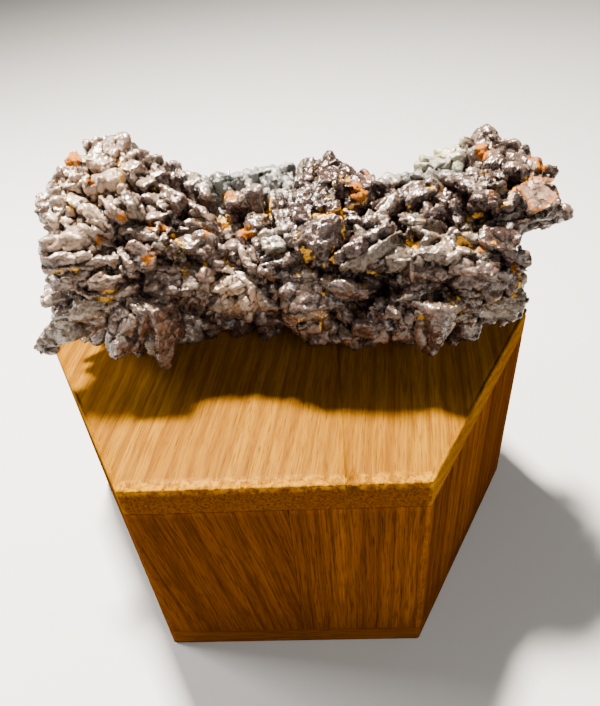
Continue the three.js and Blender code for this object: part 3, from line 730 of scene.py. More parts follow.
def normals_of(points, quads):
    """Unit normals at the points: the sum of (c - a) x (d - b) over the quads round each."""
    a, b, c, d = (points[quads[:, k]] for k in range(4))
    face = np.cross(c - a, d - b)
    total = np.zeros_like(points)
    for k in range(4):
        for axis in range(3):
            total[:, axis] += np.bincount(quads[:, k], face[:, axis], len(points))
    return total / np.maximum(np.linalg.norm(total, axis=1, keepdims=True), 1e-12)


def settled(values, edges, rounds, pull=1.0):
    """Values after some rounds in which each moves towards the mean of its neighbours."""
    values = np.array(values, float)
    flat = values.reshape(len(values), -1)
    a, b = edges.T
    count = np.bincount(a, minlength=len(flat)) + np.bincount(b, minlength=len(flat))
    count = np.maximum(count, 1)[:, None]
    for _ in range(rounds):
        total = np.stack([
            np.bincount(a, flat[b, k], len(flat)) + np.bincount(b, flat[a, k], len(flat))
            for k in range(flat.shape[1])
        ], -1)
        flat = flat + pull * (total / count - flat)
    return flat.reshape(values.shape)


def claimed(points, crystals):
    """For each point the crystal whose surface is nearest, and the signed distances to it and
    to the next nearest: the largest of (n . q - k) / |n / half| over a crystal's planes."""
    owner = np.full(len(points), -1)
    first = np.full(len(points), 1.2)
    second = np.full(len(points), 1.2)
    order = np.argsort(points[:, 0])
    stations = points[order, 0]
    reach = np.linalg.norm(crystals.half, axis=1) + 1.0
    low = np.searchsorted(stations, crystals.centre[:, 0] - reach)
    high = np.searchsorted(stations, crystals.centre[:, 0] + reach)
    for i in range(len(crystals)):
        near = order[low[i]:high[i]]
        offset = points[near] - crystals.centre[i]
        inside = (offset ** 2).sum(1) < reach[i] ** 2
        near, offset = near[inside], offset[inside]
        if not len(near):
            continue
        q = offset @ crystals.axes[i].T / crystals.half[i]
        n = crystals.planes[i, :, :3]
        k = crystals.planes[i, :, 3]
        away = ((q @ n.T - k) / np.linalg.norm(n / crystals.half[i], axis=1)).max(1)
        better = away < first[near]
        second[near] = np.where(better, first[near], np.minimum(second[near], away))
        owner[near[better]] = i
        first[near[better]] = away[better]
    return owner, first, second


# ------------------------------------------------------------------ marks


def seen(points):
    """Right and up, in millimetres on the reading plane, at which a point is seen from EYE:
    its offset along each view axis times READING over its depth."""
    offset = points - EYE
    depth = -(offset @ BACK)
    return np.stack([offset @ RIGHT, offset @ UP], -1) * (READING / depth)[:, None]


def from_line(place, line):
    """Distance from each place to the nearest point of a bent line."""
    line = np.array(line, float)
    best = np.full(len(place), 99.0)
    for a, b in zip(line[:-1], line[1:]):
        t = np.clip(((place - a) @ (b - a)) / ((b - a) @ (b - a)), 0, 1)
        best = np.minimum(best, np.linalg.norm(place - (a + t[:, None] * (b - a)), axis=1))
    return best


def from_polygon(place, corners):
    """Signed distance outside a convex polygon: the largest over its sides of how far a place
    lies beyond the side."""
    best = np.full(len(place), -99.0)
    middle = corners.mean(0)
    for a, b in zip(corners, np.roll(corners, -1, 0)):
        n = np.array([b[1] - a[1], a[0] - b[0]])
        n /= np.linalg.norm(n)
        if (middle - a) @ n > 0:
            n = -n
        best = np.maximum(best, (place - a) @ n)
    return best


def cleft_depth(points, place):
    """How deep the clefts cut at each point: a cleft's depth inside 0.2 of its half width,
    fading to nothing at 1.3, along lines bent by noise."""
    bent = place + 0.8 * np.stack([noise(points, 2.6, SEED + 8), noise(points, 2.6, SEED + 9)], -1)
    sunk = np.zeros(len(points))
    for half, depth, line in CLEFTS:
        sunk = np.maximum(sunk, depth * (1 - ramp(from_line(bent, line) / half, 0.2, 1.3)))
    return sunk


def relief_of(points, growth, smooth):
    """How far each point stands out: large and small lumps in the crystal's own axes, each a
    leaning facet, a rise towards its middle and a groove at its rim, then two sizes of ridges
    along the crystal. Smooth crystals take less of the lumps."""
    near, next_, facet = lumps(growth / np.array([2.3, 2.7, 2.3]), SEED + 11)
    relief = 0.10 * ramp(next_ - near, 0.0, 0.25) + 0.08 * (0.6 - near) + 0.85 * facet - 0.08
    relief *= 1 - 0.8 * smooth
    near, next_, facet = lumps(growth / np.array([0.95, 1.15, 0.95]), SEED + 15)
    bumpy = (0.35 + 0.65 * ramp(noise(points, 4.5, SEED + 16), -0.35, 0.35)) * (1 - 0.5 * smooth)
    relief += (0.04 * ramp(next_ - near, 0.0, 0.3) + 0.04 * (0.5 - near) + 0.34 * facet) * bumpy
    relief += 0.10 * noise(growth / np.array([1, 1.6, 1]), 2.4, SEED + 12)
    relief += 0.03 * noise(growth / np.array([1, 1.6, 1]), 0.6, SEED + 13)
    return relief


def broken_face(points, ray, front, outside):
    """Moves the points inside the scar along their line of sight onto one plane, roughened by
    noise, and gives them with the distance outside the scar, 9 where nothing moved."""
    level = (SCAR_POINT - EYE) @ SCAR_NORMAL
    flat = EYE + ray * (level / (ray @ SCAR_NORMAL))[:, None]
    flat += SCAR_NORMAL * (0.10 * noise(points, 0.9, SEED + 22))[:, None]
    pull = (1 - ramp(outside, -0.1, 0.5)) * front
    pull *= np.linalg.norm(flat - points, axis=1) < 5
    return points + (flat - points) * pull[:, None], np.where(pull > 0.02, outside, FAR_OFF)


def hollowness(points, normals, edges):
    """How far each point lies under the settled surface along its normal, over 0.10 after 5
    rounds and over 0.50 after 30, added up."""
    hollow = ((settled(points, edges, 5) - points) * normals).sum(1) / 0.10
    hollow += ((settled(points, edges, 30) - points) * normals).sum(1) / 0.50
    return settled(hollow, edges, 1, 0.5)


def marks_of(points, front):
    """Distances outside the veins and the ochre and rust spots, 9 on the hidden side, and the
    painted light and shade: the sum of each patch's strength times e^(-(distance / radius)^2)."""
    place = seen(points) + 0.45 * np.stack(
        [noise(points, 1.5, SEED + 31), noise(points, 1.5, SEED + 32)], -1)
    vein = np.min([from_line(place, line) - half for half, line in VEINS], axis=0)
    ochre, rust = (
        np.min([np.hypot(*(place - (x, y)).T) - r for x, y, r in spots], axis=0)
        for spots in (OCHRE_SPOTS, RUST_SPOTS)
    )
    shade = np.sum([
        k * np.exp(-((place - (x, y)) ** 2).sum(1) / r ** 2) for x, y, r, k in SHADES], axis=0)
    for mark in (vein, ochre, rust):
        mark[front < 0.5] = FAR_OFF
    return {"vein": vein, "ochre": ochre, "rust": rust, "shade": shade * front}


def weathering(points):
    """Shares of the grey bloom and of its pale kind: along two stretches of the back ridge, and
    in patches of noise over the rest of the far side, each a product of ramps."""
    clock, _ = clock_of(points)
    station = points[:, 0] + noise(points, 3.0, SEED + 42)
    ridge = ramp(station, -16, -9) * (1 - ramp(station, 4.5, 6)) * (1 - ramp(clock, -4, 22))
    saddle = ramp(station, 18, 20) * (1 - ramp(station, 32, 34)) * (1 - ramp(clock, -2, 14))
    ridge = np.maximum(ridge, saddle)
    patches = ramp(noise(points, 9.0, SEED + 41) + 0.5 * noise(points, 3.0, SEED + 43), -0.3, 0.5)
    grey = np.where(clock > -48, ridge, patches) * (np.abs(clock) < 150)
    pale = ramp(station, 17, 25) * (1 - ramp(station, 33, 35)) * (1 - ramp(clock, -14, 4))
    return {"grey": grey, "pale": pale * (clock > -60)}


def stone_piece(name, crystals, small, core, far=False):
    """One piece of the stone: its crystals and a length of the matrix made into one skin, then
    worked over. The clefts are cut along the line of sight. Then every point moves along its
    normal by its relief, less a groove of e^(-(gap / 0.24)^2) where two crystals meet."""
    surfaces = [crystal_surfaces(crystals, 25, 32, 28), crystal_surfaces(small, 13, 18, 18), core]
    points, edges, quads = one_skin(name, surfaces, VOXEL * (1.5 if far else 1))
    points = settled(points, edges, 1, 0.6)
    everyone = Crystals.joined([crystals, small])
    owner, first, second = claimed(points, everyone)
    held = owner >= 0
    who = np.where(held, owner, 0)
    local = np.einsum("vi,vji->vj", points - everyone.centre[who], everyone.axes[who])
    local[~held] = points[~held]
    own = hashed(np.stack([who, who * 3 + 1, who * 0], -1), SEED + 5)
    growth = local + own[:, None] * np.array([31.0, 47.0, 59.0])
    smooth = np.where(held, everyone.smooth[who], ROUGH)

    normals = normals_of(points, quads)
    place = seen(points)
    ray = (points - EYE) / np.linalg.norm(points - EYE, axis=1, keepdims=True)
    facing = (normals * (EYE - points)).sum(1) / np.linalg.norm(EYE - points, axis=1)
    _, height = clock_of(points)
    front = (0.0 if far else 1.0) * ramp(facing, -0.25, 0.1) * (height > -7)
    points += ray * (cleft_depth(points, place) * front)[:, None]

    relief = relief_of(points, growth, smooth)
    relief -= np.where(held, 0.14 * np.exp(-((second - first) / 0.24) ** 2), 0)
    points = points + normals * relief[:, None]

    scar = np.full(len(points), FAR_OFF)
    if not far:
        outside = from_polygon(place, SCAR) + 0.2 * noise(points, 1.1, SEED + 21)
        points, scar = broken_face(points, ray, front, outside)
    points[:, 2] = np.maximum(points[:, 2], HEIGHT + REST_GAP)

    normals = normals_of(points, quads)
    # How far each point faces up. The material paints a highlight, partly also pale dust, on the
    # faces that look up, and gives less sheen to those that look down.
    above = settled(normals, edges, 2, 0.6)[:, 2] + 0.25 * noise(points, 1.7, SEED + 44)
    obj = put_mesh(name, points, quads)
    store(obj, scar=scar, hollow=hollowness(points, normals, edges), above=ramp(above, 0.35, 0.95),
          own=settled(own, edges, 1, 0.4), seam=np.where(held, second - first, 1.0),
          **marks_of(points, front), **weathering(points))
    obj.data.attributes.new("growth", "FLOAT_VECTOR", "POINT").data.foreach_set(
        "vector", growth.astype(np.float32).ravel())
    return obj


# ------------------------------------------------------------------ the block's boards


def plan_outline(corners, step=0.5):
    """Points, outward normals and arris widths round a convex plan. Each corner (x, y, radius)
    becomes an arc of its radius; each side is split into steps. The arris is as wide as the
    larger of a side's two radii and narrows to a corner's own radius over its last 0.8 mm."""
    xy = np.array([c[:2] for c in corners], float)
    count = len(xy)
    points, normals = [], []
    radii = [c[2] for c in corners]
    for i in range(count):
        before, here, after = xy[i - 1], xy[i], xy[(i + 1) % count]
        radius = corners[i][2]
        a = (here - before) / np.linalg.norm(here - before)
        b = (after - here) / np.linalg.norm(after - here)
        na, nb = np.array([a[1], -a[0]]), np.array([b[1], -b[0]])
        half = math.acos(np.clip(na @ nb, -1, 1)) / 2
        centre = here - (na + nb) / np.linalg.norm(na + nb) * radius / math.cos(half)
        t = np.linspace(0, 1, 7)[:, None]
        n = na * (1 - t) + nb * t
        n /= np.linalg.norm(n, axis=1, keepdims=True)
        points.append(centre + n * radius)
        normals.append(n)
    out_p, out_n, out_w = [], [], []
    for i in range(count):
        here, after = radii[i], radii[(i + 1) % count]
        a, b = points[i][-1], points[(i + 1) % count][0]
        length = np.linalg.norm(b - a)
        t = np.linspace(0, 1, max(2, int(length / step)) + 1)[1:-1, None]
        wide = max(here, after)
        width = np.minimum(here + (wide - here) * ramp(t[:, 0] * length, 0, 0.8),
                           after + (wide - after) * ramp((1 - t[:, 0]) * length, 0, 0.8))
        out_p += [points[i], a + (b - a) * t]
        out_n += [normals[i], np.repeat(normals[i][-1:], len(t), 0)]
        out_w += [np.full(len(points[i]), here), width]
    return np.concatenate(out_p), np.concatenate(out_n), np.concatenate(out_w)


def board(corners, low, high, top_arris, bottom_arris):
    """A board: a profile carried round its plan. The profile runs from the middle of the
    underside out to the bottom arris, a quarter circle, up the side, round the top arris and
    in to the middle of the top. On the caps the plan shrinks towards its centroid, where one
    point closes each cap with triangles."""
    plan, normal, width = plan_outline(corners)
    middle = plan.mean(0)
    foot, head = np.minimum(0.9 * width, bottom_arris), np.minimum(0.9 * width, top_arris)
    quarter = np.linspace(0, math.pi / 2, 6)
    caps = (0.2, 0.4, 0.6, 0.8, 0.9, 0.95, 0.98)
    profile = [(share, foot, low + 0 * foot) for share in caps]
    profile += [(1, foot * (1 - math.sin(q)), low + foot * (1 - math.cos(q))) for q in quarter]
    for t in np.linspace(0, 1, max(4, int((high - low) / 1.2)))[1:-1]:
        profile.append((1, 0 * foot, (low + foot) * (1 - t) + (high - head) * t))
    profile += [
        (1, head * (1 - math.cos(q)), high - head * (1 - math.sin(q))) for q in quarter[::-1]
    ]
    profile += [(share, head, high + 0 * head) for share in reversed(caps)]
    rings = [
        np.column_stack([middle + (plan - normal * inset[:, None] - middle) * share, z])
        for share, inset, z in profile
    ]
    points = np.concatenate(rings + [[[*middle, low]], [[*middle, high]]])
    here = np.arange(len(plan))
    after = (here + 1) % len(plan)
    last = len(plan) * (len(profile) - 1)
    below, above = np.full(len(plan), len(points) - 2), np.full(len(plan), len(points) - 1)
    under = np.stack([after, here, below, below], -1)
    over = np.stack([here + last, after + last, above, above], -1)
    return points, np.concatenate([grid_faces(len(profile), len(plan)), under, over])


def chipped(points, front_y, top_z):
    """The front top arris worn and chipped: points near it sink and draw back by a depth that
    is ragged noise along X, larger over two stretches and one three-cornered chip."""
    x = points[:, 0]
    along = np.column_stack([x, 0 * x, 0 * x])
    ragged = np.clip(noise(along, 1.1, 61) + 0.5 * noise(along, 0.5, 62), 0, 1)
    left = ramp(x, -24.5, -22.5) * (1 - ramp(x, -10, -8))
    right = ramp(x, 0.5, 1.5) * (1 - ramp(x, 5.5, 6.5))
    worn = 0.22 * ragged * (left + right)
    worn += 0.05 * np.clip(noise(along, 2.2, 63), 0, 1)
    chip = 1.5 * np.clip(1 - np.abs(x - 12.6) / 1.2, 0, 1)
    from_arris = np.hypot(points[:, 1] - front_y, points[:, 2] - top_z)
    depth = worn * (1 - ramp(from_arris, 0.6, 1.4)) + chip * (1 - ramp(from_arris, 0.8, 1.9))
    points[:, 2] -= depth * 0.8
    points[:, 1] += depth * 0.5
    return points


# ------------------------------------------------------------------ materials


class Weave:
    """The shader nodes of one material. An input given as a socket is linked to it."""

    def __init__(self, name):
        self.material = bpy.data.materials.new(name)
        self.material.use_nodes = True
        self.tree = self.material.node_tree
        self.tree.nodes.clear()

    def add(self, kind, inputs, out=0, **settings):
        node = self.tree.nodes.new("ShaderNode" + kind)
        for key, value in settings.items():
            setattr(node, key, value)
        for key, value in inputs.items():
            if isinstance(value, bpy.types.NodeSocket):
                self.tree.links.new(value, node.inputs[key])
            else:
                node.inputs[key].default_value = value
        return node.outputs[out] if len(node.outputs) else None

    def attribute(self, name, out=2):
        return self.add("Attribute", {}, out, attribute_name=name)

    def place(self, vector, scale, rotation=(0, 0, 0)):
        return self.add("Mapping", {"Vector": vector, "Scale": scale, "Rotation": rotation})

    def noise(self, vector, scale, detail=2.0, roughness=0.5):
        return self.add("TexNoise", {
            "Vector": vector, "Scale": scale, "Detail": detail, "Roughness": roughness,
        })

    def step(self, value, low, high, to_low=0.0, to_high=1.0):
        return self.add("MapRange", {
            "Value": value, "From Min": low, "From Max": high, "To Min": to_low, "To Max": to_high,
        }, interpolation_type="SMOOTHSTEP")

    def plus(self, a, b):
        return self.add("Math", {0: a, 1: b}, operation="ADD")

    def minus(self, a, b):
        return self.add("Math", {0: a, 1: b}, operation="SUBTRACT")

    def times(self, a, b):
        return self.add("Math", {0: a, 1: b}, operation="MULTIPLY")

    def most(self, a, b):
        return self.add("Math", {0: a, 1: b}, operation="MAXIMUM")

    def mix(self, share, a, b):
        return self.add("Mix", {0: share, 6: a, 7: b}, 2, data_type="RGBA")

    def facets(self, vector, scale):
        """Height of flat facets that lean at random: the offset from the nearest of random
        spots times that spot's own random vector."""
        spot = self.add("TexVoronoi", {"Vector": vector, "Scale": scale}, "Position")
        lean = self.add("VectorMath", {
            0: spot.node.outputs["Color"], 1: (2, 2, 2), 2: (-1, -1, -1),
        }, operation="MULTIPLY_ADD")
        offset = self.add("VectorMath", {0: vector, 1: spot}, operation="SUBTRACT")
        return self.add("VectorMath", {0: offset, 1: lean}, "Value", operation="DOT_PRODUCT")

    def bump(self, height, distance, strength, normal=None):
        inputs = {"Height": height, "Distance": distance, "Strength": strength}
        if normal is not None:
            inputs["Normal"] = normal
        return self.add("Bump", inputs)

    def finish(self, **inputs):
        names = {
            "colour": "Base Color", "roughness": "Roughness",
            "specular": "Specular IOR Level", "coat": "Coat Weight", "normal": "Normal",
            "coat_roughness": "Coat Roughness", "ior": "IOR", "tint": "Specular Tint",
        }
        shader = self.add("BsdfPrincipled", {names[key]: v for key, v in inputs.items()})
        self.add("OutputMaterial", {"Surface": shader})
        return self.material


def stone_material():
    """Dark purple-brown oxide with a satin sheen, ochre dust in its hollows and veins, rust on
    some tips, a grey-green weathered back and one pinkish broken face. Light and shade are
    painted in as well: faces that look up are painted pale as a highlight, partly pale dust;
    the SHADES patches are painted paler or darker; the deepest hollows are painted almost black."""
    w = Weave("oxide crystals")
    growth = w.attribute("growth", 1)
    body = w.place(w.add("TexCoord", {}, 3), (1000, 1000, 1000))
    hollow = w.attribute("hollow")
    own = w.attribute("own")
    blotch = w.noise(body, 0.35, 3, 0.6)
    grit = w.noise(body, 3.0, 4, 0.65)
    fine = w.noise(body, 9.0, 2, 0.6)

    above = w.attribute("above")
    shade = w.attribute("shade")
    # Painted light and painted shade: the base tone goes paler or darker with the shade patches.
    tone = w.plus(w.plus(blotch, w.times(own, 0.4)), w.times(shade, 0.5))
    colour = w.mix(w.step(tone, 0.45, 0.95),
                   (0.036, 0.019, 0.015, 1), (0.100, 0.056, 0.040, 1))
    colour = w.mix(w.step(own, 0.72, 0.9, 0, 0.5), colour, (0.10, 0.085, 0.06, 1))
    # Painted highlight, partly also pale dust: up-facing faces and the patches of painted light are
    # mixed towards pale cream; the dark patches of painted shade hold it back.
    worn = w.times(above, w.step(grit, 0.35, 0.62, 0.35, 1))
    worn = w.times(worn, w.step(shade, -0.7, 0.6, 0.03, 0.42))
    worn = w.most(worn, w.step(shade, 0.5, 1.2, 0, 0.7))
    colour = w.mix(worn, colour, (0.44, 0.30, 0.195, 1))
    colour = w.mix(w.step(grit, 0.56, 0.75, 0, 0.3), colour, (0.26, 0.18, 0.13, 1))
    # Painted shade: where the shade patches are darkest the colour goes almost black.
    colour = w.mix(w.step(shade, -1.2, -0.3, 0.6, 0), colour, (0.026, 0.013, 0.010, 1))
    grey = w.times(w.attribute("grey"), w.step(blotch, 0.3, 0.6, 0.55, 0.95))
    bloom = w.mix(grit, (0.07, 0.085, 0.08, 1), (0.25, 0.27, 0.24, 1))
    lichen = w.mix(grit, (0.20, 0.20, 0.09, 1), (0.52, 0.50, 0.25, 1))
    bloom = w.mix(w.attribute("pale"), bloom, lichen)
    colour = w.mix(grey, colour, bloom)

    # Painted shade: the deepest hollows are darkened almost to black.
    deep = w.step(hollow, 0.9, 2.4)
    colour = w.mix(deep, colour, (0.014, 0.009, 0.008, 1))
    patchy = w.step(w.noise(body, 0.22, 2), 0.50, 0.62)
    joint = w.step(w.plus(w.attribute("seam"), w.times(grit, 0.5)), 0.24, 0.42, 1, 0)
    joint = w.times(joint, w.step(hollow, 0.2, 0.9))
    dusty = w.times(joint, patchy)
    colour = w.mix(w.times(dusty, 0.9), colour, (0.50, 0.24, 0.03, 1))

    crumbly = w.step(fine, 0.3, 0.7)
    yellow = w.mix(crumbly, (0.50, 0.20, 0.008, 1), (0.92, 0.50, 0.05, 1))
    orange = w.mix(crumbly, (0.19, 0.040, 0.003, 1), (0.44, 0.15, 0.012, 1))
    rough_edge = w.times(w.minus(grit, 0.5), 1.6)
    island = w.times(w.minus(w.noise(body, 0.9, 3, 0.6), 0.5), 4.0)
    strand = w.times(w.minus(w.noise(body, 0.7, 2), 0.48), 2.2)
    vein = w.plus(w.plus(w.attribute("vein"), rough_edge), strand)
    vein = w.step(vein, -0.20, -0.03, 1, 0)
    ochre = w.plus(w.attribute("ochre"), w.plus(rough_edge, island))
    ochre = w.step(w.minus(ochre, w.times(hollow, 0.4)), -0.2, 0.2, 1, 0)
    rust = w.plus(w.attribute("rust"), w.plus(rough_edge, island))
    rust = w.step(rust, -0.3, 0.4, 0.95, 0)
    colour = w.mix(rust, colour, orange)
    dust = w.most(vein, ochre)
    colour = w.mix(dust, colour, yellow)

    scar = w.attribute("scar")
    broken = w.step(scar, 0.0, 0.3, 1, 0)
    rim = w.times(broken, w.step(w.plus(scar, rough_edge), -0.75, -0.1))
    face = w.mix(w.noise(w.place(body, (1, 1, 1), (0.3, 0.5, 0.8)), 1.6, 5, 0.7),
                 (0.16, 0.075, 0.045, 1), (0.40, 0.26, 0.18, 1))
    colour = w.mix(broken, colour, face)
    colour = w.mix(w.times(rim, 0.85), colour, orange)

    powder = w.most(w.most(dust, rust), w.most(dusty, rim))
    sheen = w.step(w.noise(body, 1.3, 3, 0.6), 0.3, 0.75, 0.17, 0.37)
    roughness = w.mix(powder, sheen, (0.92, 0.92, 0.92, 1))
    roughness = w.mix(w.times(grey, 0.6), roughness, (0.7, 0.7, 0.7, 1))
    gloss = w.step(powder, 0, 0.6, 0.75, 0)
    lines = w.noise(w.place(growth, (2.6, 0.5, 2.6)), 1.0, 3, 0.6)
    normal = w.bump(w.facets(w.place(growth, (1, 0.75, 1)), 0.55), 0.00045, 1.0)
    normal = w.bump(w.facets(body, 1.6), 0.00032, 1.0, normal)
    normal = w.bump(lines, 0.00018, 0.35, normal)
    normal = w.bump(grit, 0.00010, 0.7, normal)
    lustre = w.times(w.step(shade, -0.9, 0.3, 0.5, 1.0), w.step(powder, 0, 0.6, 1.0, 0.1))
    lustre = w.times(lustre, w.step(hollow, 0.3, 1.5, 1.0, 0.3))
    lustre = w.times(lustre, w.step(above, 0.0, 0.7, 0.4, 1.0))
    return w.finish(colour=colour, roughness=roughness, ior=1.7, specular=lustre,
                    tint=(1.0, 0.86, 0.74, 1), coat=w.times(gloss, lustre),
                    coat_roughness=0.16, normal=normal)


def wood_material(name, turn, pale, mid, dark, bands, varnish, ends=None):
    """Varnished hardwood. Coordinates are turned so that the grain runs along Y. Broad, fine
    and hair streaks are noise stretched along the grain; growth bands are waves across it, with
    a scale, a turn and a strength; pores are short dark dashes. Where the ends attribute is 1
    the cut pores show as dots. The arrises are paler, for wear and as a painted highlight."""
    scale, turned, strength = bands
    w = Weave(name)
    grain = w.place(w.add("TexCoord", {}, 3), (1000, 1000, 1000), turn)
    drift = w.noise(grain, 0.03, 1)
    sway = w.add("VectorMath", {0: w.add("CombineXYZ", {"X": drift, "Y": 0.0, "Z": drift}),
                                1: (1.6, 0.0, 1.6)}, operation="MULTIPLY")
    grain = w.add("VectorMath", {0: grain, 1: sway}, operation="ADD")
    long = w.place(grain, (1, 0.02, 1))
    broad = w.noise(long, 0.12, 3, 0.6)
    fine = w.noise(long, 1.6, 4, 0.7)
    hair = w.noise(w.place(long, (1, 2.0, 1)), 4.5, 2, 0.6)
    rings = w.add("TexWave", {"Vector": w.place(long, (1, 1, 1), (0, turned, 0)),
                              "Scale": scale, "Distortion": 2.4, "Detail": 3.0,
                              "Detail Scale": 0.6}, 1, wave_type="BANDS", bands_direction="X")
    colour = w.mix(w.step(broad, 0.3, 0.7), pale, mid)
    colour = w.mix(w.step(rings, 0.5, 0.95, 0, strength), colour, dark)
    colour = w.mix(w.step(fine, 0.42, 0.72, 0, 0.75), colour, dark)
    colour = w.mix(w.step(hair, 0.42, 0.72, 0, 0.75), colour, dark)
    pores = w.noise(w.place(grain, (5.0, 0.3, 5.0)), 1.0, 1, 0.5)
    pore = w.step(pores, 0.66, 0.72, 0, 0.5)
    deep = tuple(v * 0.4 for v in dark[:3]) + (1,)
    colour = w.mix(pore, colour, deep)
    end = w.attribute("end")
    if ends:
        dots = w.step(w.noise(grain, 2.4, 4, 0.75), 0.40, 0.62)
        colour = w.mix(end, colour, w.mix(dots, ends[0], ends[1]))
    # The arrises and corners are mixed paler in scuffy patches: wear, and a painted highlight along
    # them.
    scuffs = w.step(w.noise(grain, 0.9, 4, 0.7), 0.42, 0.62)
    rub = w.times(w.attribute("rubbed"), scuffs)
    colour = w.mix(rub, colour, tuple(min(1, v * 1.5) for v in pale[:3]) + (1,))
    normal = w.bump(w.minus(0, pore), 0.00006, 0.5)
    normal = w.bump(fine, 0.00003, 0.5, normal)
    rough = w.step(fine, 0.3, 0.8, 0.32, 0.48)
    if not varnish:
        return w.finish(colour=colour, roughness=rough, specular=0.0, coat=0.0, normal=normal)
    shine = w.times(w.attribute("upper"), varnish)
    return w.finish(colour=colour, roughness=rough, specular=shine,
                    coat=w.times(shine, 0.6), coat_roughness=0.1, normal=normal)


# ------------------------------------------------------------------ put the stone together

rng = np.random.default_rng(SEED)
hand = LEFT_CROWN + LEFT_FACE + LEFT_LOBE + MIDDLE_BACK + MIDDLE_CROWN + MIDDLE_FACE
hand += MIDDLE_FOOT + RIGHT_BACK + RIGHT_HEAD + RIGHT_LEDGES
unseen = hidden_rows(rng)
fill = between(230, (-36, 43), (-45, 135), (-5.6, -3.2), hand, rng)
fill += between(80, (-36, -10), (-45, 40), (-4.4, -2.0), hand, rng)
fill += between(220, (-36, 43), (135, 315), (-5.2, -2.8), unseen, rng)

main_rows = hand + unseen
main = seated(main_rows, rng)
small = Crystals.joined([seated(fill, rng), grown_on(main, 1, rng)])


SEEN_CLOCKS = (-44, 138)    # the clock angles between which a crystal belongs to the seen side
PART_STATIONS = [-9.5, 19.5]    # where the seen side is parted


def side_of(crystals):
    """0 left, 1 middle, 2 right for the seen side, 3 for the hidden side."""
    clock, _ = clock_of(crystals.centre)
    hidden = (clock < SEEN_CLOCKS[0]) | (clock > SEEN_CLOCKS[1])
    part = np.digitize(crystals.centre[:, 0], PART_STATIONS)
    return np.where(hidden, 3, part)


SCAR_NORMAL = np.array([0.22, -0.62, 0.75])
SCAR_NORMAL /= np.linalg.norm(SCAR_NORMAL)
scar_row = [i for i, row in enumerate(main_rows) if row[:3] == ("block", 43.4, 38)][0]
SCAR_POINT = main.centre[scar_row] + SCAR_NORMAL * 3.0

oxide = stone_material()
main_side, small_side = side_of(main), side_of(small)
for part, (name, core, far) in enumerate((
    ("stone_left", core_surface(-36, -6, 5.2, 0), False),
    ("stone_middle", core_surface(-13, 23, 5.2, 0), False),
    ("stone_right", core_surface(16, 44, 5.2, 0), False),
    ("stone_far_side", core_surface(-35, 43, 5.6, 1.5), True),
)):
    large_ones, small_ones = main.take(main_side == part), small.take(small_side == part)
    piece = stone_piece(name, large_ones, small_ones, core, far)
    piece.data.materials.append(oxide)
    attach(piece, "root")
    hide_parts("prophecy_stone")
    print(name, len(piece.data.vertices), "vertices", flush=True)

# ------------------------------------------------------------------ put the block together

top_wood = wood_material("golden top wood", (0, 0, math.radians(6)), (0.255, 0.112, 0.001, 1),
                         (0.185, 0.073, 0.001, 1), (0.095, 0.031, 0.001, 1), (0.16, 0.9, 0.4), 0.02,
                         ((0.115, 0.035, 0.001, 1), (0.050, 0.015, 0.001, 1)))
left_wood = wood_material("slanting body wood", (math.radians(90), 0, math.radians(9)),
                          (0.124, 0.037, 0.002, 1), (0.074, 0.021, 0.001, 1),
                          (0.028, 0.008, 0.001, 1),
                          (0.10, 0.4, 0.22), 0.0)
right_wood = wood_material("upright body wood", (math.radians(90), 0, 0),
                           (0.158, 0.049, 0.003, 1), (0.082, 0.023, 0.001, 1),
                           (0.028, 0.008, 0.001, 1),
                           (0.13, 0.2, 0.34), 0.0)
foot_wood = wood_material("foot wood", (0, 0, math.radians(90)), (0.150, 0.047, 0.003, 1),
                          (0.100, 0.029, 0.001, 1), (0.040, 0.011, 0.001, 1), (0.09, 0.3, 0.3), 0.0)

SHARP = 0.15
WORN = 0.7
h, d = SIDE / 2, HALF_DEPTH


def left_plan(seam):
    return [(-SIDE, 0, WORN), (-h, -d, WORN), (seam, -d, SHARP), (seam, d, SHARP), (-h, d, WORN)]


def right_plan(seam):
    return [(seam, -d, SHARP), (h, -d, WORN), (SIDE, 0, WORN), (h, d, WORN), (seam, d, SHARP)]


whole = [
    (-SIDE, 0, WORN), (-h, -d, WORN), (h, -d, WORN), (SIDE, 0, WORN), (h, d, WORN), (-h, d, WORN),
]
under = HEIGHT - TOP_BOARD
ARRIS = 0.12                # the cut edges' arris; the top's and the foot's are wider
top, body = (under, HEIGHT, 0.4, ARRIS), (BOTTOM_BOARD, under, ARRIS, ARRIS)
boards = (
    ("stand_top_left", left_plan(TOP_SEAM_X), top, top_wood, "top_wood"),
    ("stand_top_right", right_plan(TOP_SEAM_X), top, top_wood, "top_wood"),
    ("stand_body_left", left_plan(BODY_SEAM_X), body, left_wood, "body_wood"),
    ("stand_body_right", right_plan(BODY_SEAM_X), body, right_wood, "body_wood"),
    ("stand_bottom", whole, (0.0, BOTTOM_BOARD, ARRIS, 1.1), foot_wood, "body_wood"),
)
for name, plan, span, material, slot in boards:
    points, faces = board(plan, *span)
    if name.startswith("stand_top"):
        points = chipped(points, -HALF_DEPTH, HEIGHT)
    piece = put_mesh(name + "_wood", points, faces)
    normals = normals_of(points, faces)
    end, upper = ramp(np.abs(normals[:, 1]), 0.6, 0.95), ramp(normals[:, 2], 0.99, 0.9995)
    # Where the arrises are paler: along the top's front and back arris and round the block's
    # corners, for wear and for a painted highlight.
    corner = np.min([np.hypot(points[:, 0] - c[0], points[:, 1] - c[1]) for c in whole], axis=0)
    arris = np.where(np.abs(points[:, 1]) > HALF_DEPTH - 1.5, np.abs(HEIGHT - points[:, 2]), 9.0)
    rubbed = np.maximum(0.3 * (1 - ramp(corner, 0.2, 1.1)), 1 - ramp(arris, 0.15, 0.55))
    store(piece, end=end, upper=upper, rubbed=rubbed)
    piece.data.materials.append(material)
    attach(piece, "root")
    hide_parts(name)

# ------------------------------------------------------------------ floor, light, camera


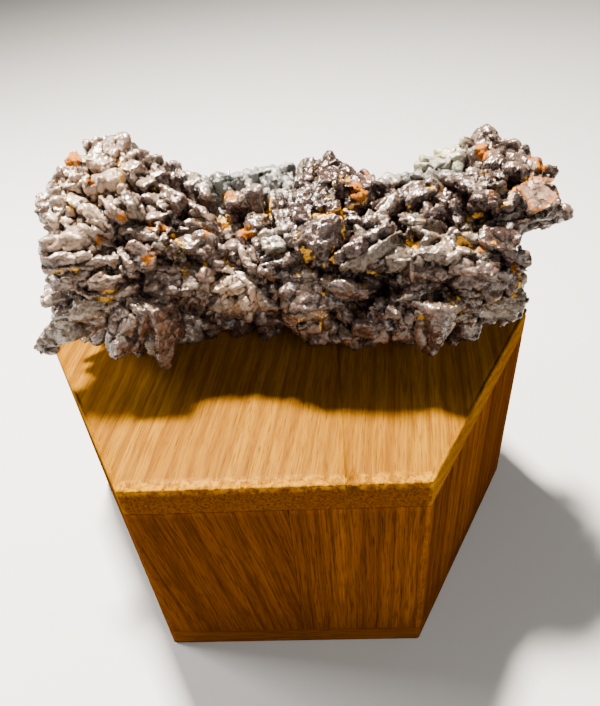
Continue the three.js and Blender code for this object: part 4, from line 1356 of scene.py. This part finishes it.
def plain_material(name, colour, roughness):
    w = Weave(name)
    body = w.add("TexCoord", {}, 3)
    soft = w.noise(body, 30, 3)
    tone = w.mix(w.step(soft, 0.3, 0.7, 0, 0.06), colour, (0.5, 0.5, 0.5, 1))
    return w.finish(colour=tone, roughness=roughness, specular=0.2)


def square(name, size, z):
    s = size / 2
    points = np.array([(-s, -s, z), (s, -s, z), (s, s, z), (-s, s, z)], float)
    return put_mesh(name, points, np.array([[0, 1, 2, 3]]))


floor = square("floor", 4000.0, -0.05)
floor.data.materials.append(plain_material("pale floor", (0.60, 0.59, 0.57, 1), 0.8))


def soft_light(name, place, target, size, watts, colour=(1, 1, 1)):
    """A square area light at a place, turned to look at the target, all in millimetres."""
    data = bpy.data.lights.new(name, "AREA")
    data.shape = "SQUARE"
    data.size = size * MM
    data.energy = watts
    data.color = colour
    obj = linked(name, data)
    place, target = np.array(place, float), np.array(target, float)
    away = place - target
    away /= np.linalg.norm(away)
    side = np.cross((0, 0, 1), away)
    side /= np.linalg.norm(side)
    lift = np.cross(away, side)
    set_pose(obj, place, side, lift, away)
    return obj


def set_pose(obj, place, x, y, z):
    """Puts an object at a place with its three axes along x, y and z."""
    rows = [(x[k], y[k], z[k], place[k] * MM) for k in range(3)]
    obj.matrix_world = Matrix(rows + [(0, 0, 0, 1)])


soft_light("key", (-70, 95, 420), (0, 0, 60), 48, 14.5, (1.0, 0.93, 0.83))
soft_light("front_fill", (190, -380, 260), (0, 0, 50), 260, 1.35, (1.0, 0.97, 0.93))
soft_light("left_rim", (-330, 60, 230), (0, 0, 70), 130, 2.2, (1.0, 0.97, 0.94))

world = bpy.data.worlds.new("studio")
world.use_nodes = True
world.node_tree.nodes["Background"].inputs["Color"].default_value = (0.85, 0.87, 0.9, 1)
world.node_tree.nodes["Background"].inputs["Strength"].default_value = 0.12
bpy.context.scene.world = world

camera_data = bpy.data.cameras.new("camera")
camera_data.sensor_width = 36.0
camera_data.lens = 33.226
camera_data.clip_start = 0.005
camera_data.clip_end = 20.0
camera_data.dof.use_dof = False
camera = linked("camera", camera_data)
set_pose(camera, EYE, RIGHT, UP, BACK)
bpy.context.scene.camera = camera
